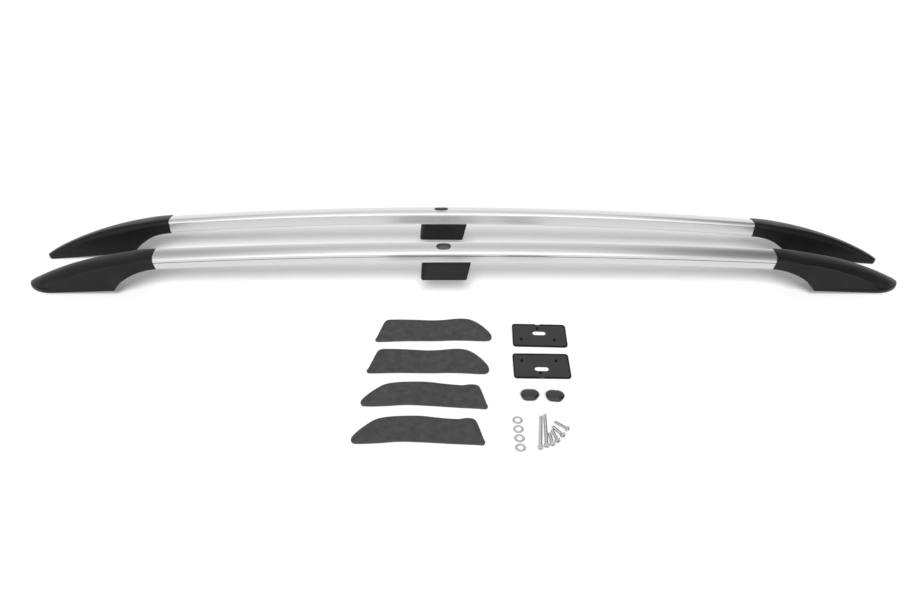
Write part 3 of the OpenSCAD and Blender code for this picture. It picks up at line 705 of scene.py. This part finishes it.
def under_z(s):
    """The underside: the flat base, a short upright step, and the arch up to the tube."""
    if s <= BASE_LEN:
        return base_z(s)
    start = (BASE_LEN + ARCH_RUN, base_z(BASE_LEN) + ARCH_STEP)
    if s < start[0]:
        return mix(base_z(BASE_LEN), start[1], (s - BASE_LEN) / ARCH_RUN)
    return swoop(s, start, ARCH_RISE, (FOOT_LEN, ARCH_TOP), -0.02)


def top_z(s):
    return swoop(s, (0, TIP_H), 0.6, (FOOT_LEN, TOP_END), RAIL_SLOPE)


def crease_z(s):
    return 0 if s < CREASE_START[0] else swoop(s, CREASE_START, CREASE_RISE, (FOOT_LEN, CREASE_END), 0)


def inner_u(s):
    return -BASE_IN + 0.015 * s + (9 * (1 - s / INNER_RUN) ** 2 if s < INNER_RUN else 0)


def outer_u(s):
    round_off = 0
    if s < TIP_RUN:
        t = 1 - s / TIP_RUN
        round_off = (BASE_OUT - inner_u(0) - TIP_WIDTH) * mix(1 - math.sqrt(1 - t * t), t * t, 0.4)
    return BASE_OUT + 0.06 * s - round_off


def slant(s):
    """How far a ring slants in plan for each millimetre inward, so that the base ends on a skewed edge."""
    share = smooth(s / BASE_LEN) if s < BASE_LEN else 1 - smooth((s - BASE_LEN) / (FOOT_LEN - BASE_LEN))
    return BASE_SKEW / (outer_u(BASE_LEN) - inner_u(BASE_LEN)) * share


# %% Rings of an end foot
CORNER_RADII = (0.6, 1.0, 1.0, 6, 6, 5) + (0,) * 13 + (1.2, 1.0, 6, 1.2, 1.0, 0.6)
ROLL_STEPS = (0, 0.08, 0.17, 0.26, 0.35, 0.44, 0.53, 0.62, 0.71, 0.79, 0.87, 0.94, 0.98)


def free_ring(s):
    """The ring at s as (out, up) pairs, from the inner base edge over the top to the outer one."""
    ui, uo, z0, zt = inner_u(s), outer_u(s), under_z(s), top_z(s)
    k = min(1, (uo - ui) / 34)
    lip = min(mix(LIP_TIP, LIP_END, s / BASE_LEN) if s < BASE_LEN else LIP_END, 0.6 * (zt - z0))
    step = LIP_STEP * k
    body_z = z0 + lip + step
    us, uc = ui + 6 * k, uo - (3 + 3 * s / BASE_LEN) * k
    zc = max(crease_z(s), body_z + 0.3)
    rise = max(0, zt - body_z)
    level = slant(s) * (uo - ui) * BASE_SLOPE
    start, turn, end = (us + 6 * k, zt), (mix(us + 6 * k, uc, 0.66), zt + 0.5 * k), (uc, zc)
    roll = [tuple((1 - t) ** 2 * p + 2 * t * (1 - t) * q + t * t * r for p, q, r in zip(start, turn, end))
            for t in ROLL_STEPS]
    inner = [(ui, z0 + level), (ui, z0 + level + lip), (ui + step, body_z + level),
             (ui + step + k, body_z + rise * 0.45), (us - 2 * k, body_z + rise * 0.8),
             (us + k, body_z + rise * 0.95)]
    below_crease = (mix(uc, uo - step, 0.5), mix(zc, body_z, 0.55))
    outer = [(uc, zc), (uc - 0.9 * k, mix(zc, body_z, 0.1)), below_crease,
             (uo - step, body_z), (uo, z0 + lip), (uo, z0)]
    return inner + roll + outer


def collar_ring():
    """The collar's outline in the tube's section, with its points in the same order."""
    hw, top = RAIL_W / 2 + COLLAR, RAIL_H + COLLAR
    crown = [mix(-hw + 6, hw - 6, i / 8) for i in range(9)]
    roll = [(u, top - u * u / (2 * CROWN_R)) for u in crown]
    edge_z = roll[-1][1]
    roll += [(hw - 6 + 6 * math.sin(t), edge_z - 6 * (1 - math.cos(t))) for t in (0.35, 0.75, 1.15, 1.5)]
    inner = [(-hw + 3, -COLLAR), (-hw, 2.5), (-hw, 6), (-hw, 13), (-hw, COLLAR_CREASE + 2),
             (-hw + 2, top - 3.6)]
    outer = [(hw, COLLAR_CREASE + 1.5), (hw - 0.9, COLLAR_CREASE), (hw, COLLAR_CREASE - 3), (hw, 6),
             (hw, 2.5), (hw - 3, -COLLAR)]
    return inner + roll + outer


def foot_ring(s):
    """The ring at s in space, with its corners rounded."""
    lean, uo = slant(s), outer_u(s)
    w = smooth((s - FOOT_LEN + COLLAR_RUN) / (COLLAR_RUN - 1))
    ring = []
    for (u, z), (held_u, held_v) in zip(free_ring(s), collar_ring()):
        free = Vector((TIP_X - s - lean * (uo - u), u, z))
        held = Vector(rail_point(ARC_END, held_u, held_v)) + rail_dir * (FOOT_LEN - s)
        ring.append(free.lerp(held, w))
    return rounded(ring, CORNER_RADII)


def pocket_ring(s):
    """The hollow's outline at s: the shell's own outline, moved inward by the wall."""
    ring, wall, lean, uo = free_ring(s), FOOT_WALL, slant(s), outer_u(s)
    crown, fold, step = ring[12], ring[19], ring[22]
    crease = fold[1] - 1.2 * wall
    outline = [(ring[0][0] + wall, ring[0][1] - 3), (ring[2][0] + wall, ring[2][1] + wall),
               (ring[4][0] + wall, ring[4][1] - wall), (ring[6][0] + wall / 2, ring[6][1] - wall),
               (crown[0], crown[1] - wall), (fold[0] - wall, crease),
               (step[0] - wall, min(step[1], crease - 0.4)), (uo - wall, ring[24][1] - 3)]
    return [(TIP_X - s - lean * (uo - u), u, z) for u, z in outline]


def round_box(x0, x1, y0, y1, r, steps=6):
    """The outline of a box with rounded corners."""
    corners = ((x1 - r, y0 + r), (x1 - r, y1 - r), (x0 + r, y1 - r), (x0 + r, y0 + r))
    outline = []
    for i, corner in enumerate(corners):
        outline += arc_points(corner, r, 90 * i - 90, 90 * i, steps)
    return outline


def at_insert(x, y, z):
    """A point near the threaded insert, whose axis is square to the sloping base."""
    slope = math.atan(BASE_SLOPE)
    return (TIP_X - INSERT_FROM_TIP + x * math.cos(slope) + z * math.sin(slope),
            (outer_u(INSERT_FROM_TIP) + inner_u(INSERT_FROM_TIP)) / 2 + y,
            base_z(INSERT_FROM_TIP) - x * math.sin(slope) + z * math.cos(slope))


# %% One end foot, placed four times
FOOT_STATIONS = ([TIP_RUN * (i / 22) ** 2 for i in range(22)]
                 + [mix(TIP_RUN, BASE_LEN, i / 24) for i in range(25)]
                 + [mix(BASE_LEN + ARCH_RUN, FOOT_LEN, i / 36) for i in range(37)])
POCKET_EDGES = [mix(26, BASE_LEN - 4, share) for share in (0, 0.27, 0.53, 0.8, 1)]
TONGUE_INSET = RAIL_WALL + 0.3


def tongue():
    half_w = RAIL_W / 2 - TONGUE_INSET
    top = RAIL_H - TONGUE_INSET - half_w * half_w / (2 * CROWN_R)
    outline = round_box(-half_w, half_w, TONGUE_INSET, top, 2.4, 4)
    angles = [ARC_END - TONGUE_A * (1 - i / 4) for i in range(4)] + [ARC_END + 2 / ARC_R]
    return skin([[rail_point(a, u, v) for u, v in outline] for a in angles])


shell = join(new_piece("shell", *skin([foot_ring(s) for s in FOOT_STATIONS])), new_piece("tongue", *tongue()))
hollows = []
for near, far in zip(POCKET_EDGES, POCKET_EDGES[1:]):
    edges = [mix(near + RIB_T / 2, far - RIB_T / 2, t / 3) for t in range(4)]
    hollow = new_piece("hollow", *skin([pocket_ring(s) for s in edges]))
    boss = new_piece("boss", *rod(BOSS_D / 2, (-5, 95), at_insert))
    hollows.append(cut(hollow, boss))
hollows.append(new_piece("bore", *rod(INSERT_D / 2, (-1, INSERT_LEN), at_insert)))
hollows.append(new_piece("bore", *rod(TAPPER_D / 2, (0, RAIL_WALL + 14), on_rail(TAPPER_A), 24)))
foot_shape = shape_of(cut(shell, *hollows))

for side in ("left", "right"):
    for end in ("front", "rear"):
        foot = piece_on(side, f"{side}_{end}_foot_shell", foot_shape, front=end == "front")
        finish_piece(foot, nylon, "black_nylon", f"{side}_{end}_foot", sharp=38)

# %% [markdown]
# The middle feet
#
# A tube this long would sag and drum under a load, so a short block carries it near the middle. One
# long screw, dropped in through the access hole, holds block and tube down on the roof. The block
# is a moulding too: its front end is cut back at both corners, a narrow ledge runs round it just
# below the tube, and from below two pockets leave a boss for the screw's steel sleeve. It is
# drawn as a skin over outlines that change a little with height. Reflections leave the blocks
# out, because the photo's tubes don't show them.

# %% Middle feet
MIDDLE_BASE_Z, MIDDLE_LEN, MIDDLE_W, MIDDLE_OUT, MIDDLE_RAKE = 51.6, 97, 58, 6.4, 7
MIDDLE_WALL, MIDDLE_ROOF, MIDDLE_POST, SEAT_GAP = 3, 9, 14, 0.2
CUT_ALONG, CUT_ACROSS = (3, 10), (5, 15)
SLEEVE_D = 10
seat_middle = Vector(rail_point(MIDDLE_A, 0, -SEAT_GAP))
seat_side = Vector(rail_point(MIDDLE_A, 1, -SEAT_GAP)) - seat_middle
seat_along = Vector(rail_point(MIDDLE_A + 1 / ARC_R, 0, -SEAT_GAP)) - seat_middle
BLOCK_H = seat_middle.z - MIDDLE_BASE_Z


def seat_z(x, y):
    """Height of the tube's underside over a point, less the seat's gap."""
    return (seat_middle.z + (x - seat_middle.x) * seat_along.z / seat_along.x
            + (y - seat_middle.y) * seat_side.z / seat_side.y)


def block_ring(share, grow, corner):
    """The block's outline at a share of its height. Its front end is cut back more towards the seat."""
    x0 = MIDDLE_X - MIDDLE_LEN / 2 - grow + MIDDLE_RAKE * 0.5 * share
    x1 = MIDDLE_X + MIDDLE_LEN / 2 + grow + MIDDLE_RAKE * 1.4 * share
    y0 = -mix(MIDDLE_W / 2 - MIDDLE_OUT, RAIL_W / 2, share) - grow
    y1 = mix(MIDDLE_W / 2 + MIDDLE_OUT, RAIL_W / 2, share) + grow
    along, across = mix(*CUT_ALONG, share), mix(*CUT_ACROSS, share)
    corners = [(x0 + along, y0), (x1, y0), (x1, y1), (x0 + along, y1), (x0, y1 - across), (x0, y0 + across)]
    outline = rounded(corners, (1.5, corner, corner, 1.5, 1.5, 1.5), steps=5)
    return [(x, y, mix(MIDDLE_BASE_Z, seat_z(x, y), share)) for x, y in outline]


def block_levels():
    """Rings of the block: rounded lower edge, upright part, and the ledge under the tube."""
    low = [(0, -1.6), (0.3, -0.8), (0.9, -0.2), (1.8, 0)]
    high = [(BLOCK_H - 3.2, 0), (BLOCK_H - 2.9, -0.2), (BLOCK_H - 2.7, -1.0), (BLOCK_H, -1.0)]
    middle = [(BLOCK_H * i / 6, 0) for i in range(1, 6)]
    return [block_ring(z / BLOCK_H, grow, mix(3, 6, z / BLOCK_H)) for z, grow in low + middle + high]


def slab(x, y, half_x, half_y, levels):
    """A skin over plain rectangles about (x, y) at the given heights."""
    corners = ((-half_x, -half_y), (half_x, -half_y), (half_x, half_y), (-half_x, half_y))
    return skin([[(x + dx, y + dy, z) for dx, dy in corners] for z in levels])


# %% One middle foot, placed twice
block = new_piece("block", *skin(block_levels()))
hollow = new_piece("hollow", *skin([block_ring(-0.04, -MIDDLE_WALL, 3),
                                    block_ring(1 - MIDDLE_ROOF / BLOCK_H, -MIDDLE_WALL, 6)]))
bolt_at = upright(MIDDLE_X, BOLT_Y)
kept = [new_piece("rib", *slab(MIDDLE_X, 0, RIB_T / 2, 60, (MIDDLE_BASE_Z - 10, ARC_TOP_Z + 10))),
        new_piece("boss", *rod(MIDDLE_BOSS_D / 2, (MIDDLE_BASE_Z - 5, ARC_TOP_Z + 5), bolt_at))]
bores = [new_piece("bore", *rod(SLEEVE_D / 2 + 0.1, (MIDDLE_BASE_Z - 5, ARC_TOP_Z + 20), bolt_at))]
for along in (-MIDDLE_SCREW_DX, MIDDLE_SCREW_DX):
    spot = on_rail(MIDDLE_A, along)
    kept.append(new_piece("post", *rod(6, (-MIDDLE_POST, 10), spot, 32)))
    bores.append(new_piece("bore", *rod(TAPPER_D / 2 + 0.1, (-30, 10), spot, 24)))
boss_levels = (MIDDLE_BASE_Z + 20, ARC_TOP_Z + RAIL_WALL + 4)
sleeve_boss = new_piece("boss", *rod(MIDDLE_BOSS_D / 2, boss_levels, bolt_at))
block_shape = shape_of(cut(join(cut(block, cut(hollow, *kept)), sleeve_boss), *bores))

for side in ("left", "right"):
    foot = piece_on(side, f"{side}_middle_foot_block", block_shape)
    finish_piece(foot, nylon, "black_nylon", f"{side}_middle_foot", sharp=38)
    foot.visible_glossy = False

# %% [markdown]
#
# Each row's place is given as the distance along the rail and the distance in front of the near
# rail, and a piece may be turned in plan, mirrored, or both.

def in_front(points, x, y, turn=0, mirror_x=False, mirror_y=False):
    """Moves points that are drawn about the origin to their place on the floor."""
    turn = math.radians(turn)
    out = []
    for px, py, pz in points:
        px, py = (-px if mirror_x else px), (-py if mirror_y else py)
        out.append((px * math.cos(turn) - py * math.sin(turn) + x + PAIR_SHIFT,
                    px * math.sin(turn) + py * math.cos(turn) + PAIR_BACK - y, pz))
    return out


def kit_piece(name, shape, *spot, **options):
    """Makes a kit piece. Reflections leave it out, because the photo's tubes don't show it."""
    piece = new_piece(name, in_front(shape[0], *spot, **options), shape[1])
    piece.visible_glossy = False
    return piece


# %% [markdown]
# Foam pads
#
# Each end foot stands on a pad of soft foam, die-cut a little larger than the foot's base, so that
# no water or dirt gets under it. A die leaves a clean outline, and the foam's edge bulges and draws
# in under its skin. The outline is drawn through a few points with a smooth closed curve. Pads for
# the two hands of feet were cut with two dies, and they differ a little.

# %% Pads
PAD_A = ((-86, 35.2), (-50, 34.5), (-5, 31.5), (22, 33), (42, 36), (60, 36.8), (77, 32.6), (95, 17.5),
         (111, -5), (116.8, -21), (114, -31.8), (104, -35.4), (72, -33.6), (40, -32.6), (5, -33.8),
         (-58, -33.6), (-106, -35.4), (-115.5, -34.2), (-118, -28.5), (-115, -21), (-102.5, 25), (-97, 33))
PAD_B = ((-85, 30.6), (-70, 28.2), (-41, 31), (-4, 36.6), (28, 37), (58, 34.4), (78, 28), (97, 11),
         (110, -4.5), (116, -16), (114.6, -24.4), (107, -28), (72, -27), (33, -23.8), (-8, -25.6),
         (-57, -29.6), (-100, -32.4), (-112, -33.2), (-116, -27.5), (-113.5, -19), (-103.5, 20),
         (-97.5, 28.6))


def closed_curve(points, steps=7):
    """A smooth closed curve through the points, of cubic pieces whose knots follow their distances."""
    out = []
    count = len(points)
    for i in range(count):
        p = [Vector(points[(i + j) % count]) for j in (-1, 0, 1, 2)]
        knots = [0.0]
        for a, b in zip(p, p[1:]):
            knots.append(knots[-1] + math.sqrt((b - a).length))
        leave = (p[2] - p[0]) / (knots[2] - knots[0])
        arrive = (p[3] - p[1]) / (knots[3] - knots[1])
        gap = knots[2] - knots[1]
        for j in range(steps):
            t = j / steps
            out.append(p[1] * (1 + 2 * t) * (1 - t) ** 2 + leave * gap * t * (1 - t) ** 2
                       + p[2] * t * t * (3 - 2 * t) - arrive * gap * t * t * (1 - t))
    return out


def inset_ring(outline, inset, z):
    """The outline moved inward by inset, at height z. The outline runs clockwise seen from above."""
    ring = []
    for i, point in enumerate(outline):
        along = outline[(i + 1) % len(outline)] - outline[i - 1]
        inward = Vector((along.y, -along.x)).normalized()
        ring.append((*(point + inward * inset), z))
    return ring


def pad_shape(points):
    """A skin over the outline, moved in and up along the profile of a bulging die-cut edge."""
    outline = closed_curve(points)
    profile = [(0.5, 0), (0, 0.5), (0.1, 1.4), (0, 2.3), (0.4, 2.75), (1.1, 2.95), (2.2, 2.7), (3.0, 2.92),
               (4.2, 2.85)]
    return skin([inset_ring(outline, inset, z) for inset, z in profile])


for name, points, spot, turned in (
        ("right_rear", PAD_A, (-64, 140.4, 0.6), False), ("left_front", PAD_A, (-73, 236.1, -0.6), False),
        ("right_front", PAD_B, (-79, 332.1, -0.5), True), ("left_rear", PAD_B, (-88, 421.1, 0.5), True)):
    pad = kit_piece(f"{name}_foam_pad", pad_shape(points), *spot, mirror_x=turned)
    finish_piece(pad, foam, "foam", f"{name}_pad", sharp=50)

# %% [markdown]
# Rubber gaskets
#
# A gasket seals each middle foot to the roof. It is a thin moulded plate with a raised rim that is
# open at one place, so that water drains. Three short hollow pegs stand up into the block, and the
# slot lets the long screw through. The slot lies beside the middle, because the block's base
# stands further out than the tube above it. Every face above the plate, on the rim and on the
# pegs, gets the smoother rubber as a second material, whose nearly black colour is painted shade
# for the rim's dark outline and the dark spots at the pegs.

# %% Gaskets
GASKET_L, GASKET_W, GASKET_T, RIM_H, RIM_W = MIDDLE_LEN + 12, MIDDLE_W + 12, 3.4, 2, 2.5
PLATE_T = GASKET_T - RIM_H
SLOT_LEN, SLOT_W, SLOT_OFF = 27, 12, 8
PEG_D, PEG_H, PEG_BORE = 5.5, 3, 3
PEG_PLACES = ((-0.34, -0.2), (0.27, -0.2), (-0.03, 0.3))
RIM_GAP = 9


def boxes(levels, length, width, r):
    """A skin over rounded boxes: each level gives a height and how far its box is grown."""
    rings = []
    for z, g in levels:
        half_x, half_y = length / 2 + g, width / 2 + g
        rings.append([(x, y, z) for x, y in round_box(-half_x, half_x, -half_y, half_y, r + g)])
    return skin(rings)


def oval_skin(levels, length, width):
    """The same over ovals with straight sides."""
    return skin([[(x, y, z) for x, y in stadium(length + 2 * g, width + 2 * g)] for z, g in levels])


def gasket_shape():
    plate_levels = ((0, -0.4), (0.4, 0), (GASKET_T - 0.5, 0), (GASKET_T, -0.5))
    plate = new_piece("plate", *boxes(plate_levels, GASKET_L, GASKET_W, 7))
    tray = new_piece("tray", *boxes(((PLATE_T, -0.3), (PLATE_T + 0.3, 0), (GASKET_T + 1, 0.4)),
                                    GASKET_L - 2 * RIM_W, GASKET_W - 2 * RIM_W, 5))
    slot = oval_skin(((-1, 0), (PLATE_T - 0.3, 0), (PLATE_T + 0.7, 1)), SLOT_LEN, SLOT_W)
    slot = new_piece("slot", [(x, y + SLOT_OFF, z) for x, y, z in slot[0]], slot[1])
    drain = new_piece("drain", *slab(-2, GASKET_W / 2, RIM_GAP / 2, 6, (PLATE_T, 9)))
    cut(plate, tray, slot, drain)
    for share_x, share_y in PEG_PLACES:
        spot = upright(share_x * GASKET_L, share_y * GASKET_W)
        peg = new_piece("peg", *rod(PEG_D / 2, (PLATE_T - 0.7, PLATE_T + PEG_H), spot, 32))
        bore = new_piece("bore", *rod(PEG_BORE / 2, (PLATE_T + 0.6, PLATE_T + PEG_H + 1), spot, 24))
        join(plate, cut(peg, bore))
    return shape_of(plate)


gasket_mesh = gasket_shape()
for side, spot, turned in (("right", (150, 157.7, -2), False), ("left", (145, 250, -1), True)):
    gasket = kit_piece(f"{side}_rubber_gasket", gasket_mesh, *spot, mirror_y=turned)
    finish_piece(gasket, rubber, "rubber", f"{side}_gasket")
    # The second material is painted shade: the rim and the pegs are painted nearly black.
    gasket.data.materials.append(painted_shade_rim_rubber)
    for face in gasket.data.polygons:
        face.material_index = 1 if face.center.z > (PLATE_T + 0.2) * MM else 0

# %% [markdown]
# Hole plugs
#
# When the long screw is tight, a plug closes the access hole over it. It is one moulding: a cap with
# a wide bevel that catches the light, and below it a thin skirt with a catch at each end that snaps
# under the tube's wall. All its outlines are the hole's oval, grown or shrunk, so a skin over ovals
# draws it.

# %% Plugs
PLUG_LIP, CAP_H, SKIRT_H, FLANGE_T, CAP_BEVEL = 2.5, 3.5, 8, 0.8, 2.5
CAP_TOP = SKIRT_H + CAP_H


def plug_shape():
    rings = [(SKIRT_H - 0.4, -2.6), (0.3, -2.3), (0, -2.0), (0, -0.9), (0.4, -0.5), (SKIRT_H, -0.5),
             (SKIRT_H, PLUG_LIP - 0.3), (SKIRT_H + 0.3, PLUG_LIP), (SKIRT_H + FLANGE_T, PLUG_LIP),
             (SKIRT_H + FLANGE_T + 0.3, PLUG_LIP - 0.25), (CAP_TOP - 0.35, PLUG_LIP - CAP_BEVEL + 0.3),
             (CAP_TOP - 0.1, PLUG_LIP - CAP_BEVEL - 0.2), (CAP_TOP, PLUG_LIP - CAP_BEVEL - 1)]
    plug = new_piece("plug", *oval_skin(rings, HOLE_LEN, HOLE_W))
    for end in (-1, 1):
        spot = end * (HOLE_LEN / 2 - 0.8)
        catch = boxes(((1.25, -0.6), (2.4, 0), (3.4, 0), (3.75, -0.3)), 2, 7, 0.6)
        join(plug, new_piece("catch", [(x + spot, y, z) for x, y, z in catch[0]], catch[1]))
    return shape_of(plug)


plug_mesh = plug_shape()
for side, spot in (("left", (114.8, 334.8)), ("right", (160.7, 337.4, -8))):
    finish_piece(kit_piece(f"{side}_plug", plug_mesh, *spot), glossy_plastic, "rubber", f"{side}_hole_plug")

# %% [markdown]
# Washers and screws
#
# The washers are stamped, so one edge of each is rounded by the punch. The screws are M6: a round
# head with a hexagonal recess, and a rolled thread. A rolled thread is a ridge that climbs one pitch
# a turn, so the shank is a grid of rings whose radius depends on the height and on the angle
# together. The real pitch of 1 mm is kept.

# %% Washers
WASHER_D, WASHER_BORE, WASHER_T = 18.9, 10, 1.6
WASHER_ROW, WASHER_PITCH = (88, 393.5), 21.7


def washer_shape(steps=64):
    """The washer's profile, spun round its axis and closed on itself."""
    inner, outer, top = WASHER_BORE / 2, WASHER_D / 2, WASHER_T
    profile = [(inner + 0.25, 0), (outer - 0.2, 0), (outer, 0.2), (outer, top - 0.5),
               (outer - 0.2, top - 0.15), (outer - 0.5, top), (inner + 0.4, top),
               (inner + 0.1, top - 0.1), (inner, top - 0.4), (inner, 0.25)]
    turns = [2 * math.pi * i / steps for i in range(steps)]
    rings = [[(r * math.cos(t), r * math.sin(t), z) for r, z in profile] for t in turns]
    points, faces = skin(rings, caps=False)
    count, last = len(profile), (steps - 1) * len(profile)
    faces += [(last + i, i, (i + 1) % count, last + (i + 1) % count) for i in range(count)]
    return points, faces


def gathered(shapes):
    """Several shapes as one."""
    points, faces = [], []
    for more, more_faces in shapes:
        faces += [tuple(len(points) + i for i in face) for face in more_faces]
        points += more
    return points, faces


washer_points, washer_faces = washer_shape()
row_x, row_y = WASHER_ROW
washers = [(in_front(washer_points, row_x, row_y + WASHER_PITCH * i), washer_faces) for i in range(4)]
finish_piece(new_piece("washers", *gathered(washers)), zinc, "zinc_steel", "kit_washers")

# %% Screws
LONG_LEN, SHORT_LEN, PLAIN_NECK = 75, 26, 3
SCREW_D, HEAD_D, HEAD_H, RECESS_D, RECESS_FLOOR = 5.8, 9.8, 3.6, 5.8, 1.4
THREAD_PITCH, THREAD_DEPTH, RINGS_A_TURN = 1.0, 0.45, 6


def screw_shape(length, steps=28):
    """A screw that stands on its head's top, with its shank upward from height 0."""
    turns = [2 * math.pi * i / steps for i in range(steps)]
    head = ((-HEAD_H, -0.7), (-HEAD_H + 0.2, -0.25), (-HEAD_H + 0.6, 0), (-0.3, 0), (0, -0.3))
    rings = [[((HEAD_D / 2 + g) * math.cos(t), (HEAD_D / 2 + g) * math.sin(t), z) for t in turns]
             for z, g in head]
    rings.append([(SCREW_D / 2 * math.cos(t), SCREW_D / 2 * math.sin(t), 0.02) for t in turns])
    count = int((length - PLAIN_NECK) / THREAD_PITCH * RINGS_A_TURN)
    for i in range(count + 1):
        z = PLAIN_NECK + (length - PLAIN_NECK) * i / count
        run_in = min(1, (z - PLAIN_NECK) / 1.5)
        point = max(0, z - length + 1.5)
        ring = []
        for t in turns:
            phase = (z / THREAD_PITCH - t / (2 * math.pi)) % 1
            r = SCREW_D / 2 - THREAD_DEPTH * run_in * abs(2 * phase - 1) - point * 0.7
            ring.append((r * math.cos(t), r * math.sin(t), z))
        rings.append(ring)
    screw = new_piece("screw", *skin(rings))
    recess = new_piece("recess", *rod(RECESS_D / 2, (-HEAD_H - 1, -RECESS_FLOOR), upright(0, 0), 6))
    return shape_of(cut(screw, recess))


def lying(shape, length, *spot):
    """Lays a screw on the floor, with its head towards the viewer and the shank's end touching down."""
    tilt = math.atan((HEAD_D - SCREW_D) / 2 / (length - 1))
    points = [(x, y * -math.sin(tilt) + z * math.cos(tilt),
               HEAD_D / 2 * math.cos(tilt) - y * math.cos(tilt) - z * math.sin(tilt)) for x, y, z in shape[0]]
    return in_front(points, *spot), shape[1]


long_screw, short_screw = screw_shape(LONG_LEN), screw_shape(SHORT_LEN)
for name, screw, length, spots in (
        ("long_screws", long_screw, LONG_LEN, ((122, 460.6, -6.4), (133, 456.5, -3.7))),
        ("short_screws", short_screw, SHORT_LEN,
         ((143.2, 452.5, 5), (153, 444.7, 15), (162.8, 432.4, 34.6), (172.2, 417.4, 47)))):
    screws = gathered([lying(screw, length, *spot) for spot in spots])
    finish_piece(new_piece(name, *screws), zinc, "zinc_steel", f"kit_{name}", sharp=30)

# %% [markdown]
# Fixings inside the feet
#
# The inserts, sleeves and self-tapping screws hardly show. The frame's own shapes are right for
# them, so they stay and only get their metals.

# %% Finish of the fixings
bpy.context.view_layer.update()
for node, material in (("thread_inserts", brass), ("bolt_sleeves", zinc), ("tongue_screws", zinc),
                       ("middle_foot_screws", zinc)):
    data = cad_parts[node].data
    data.materials.clear()
    data.materials.append(material)
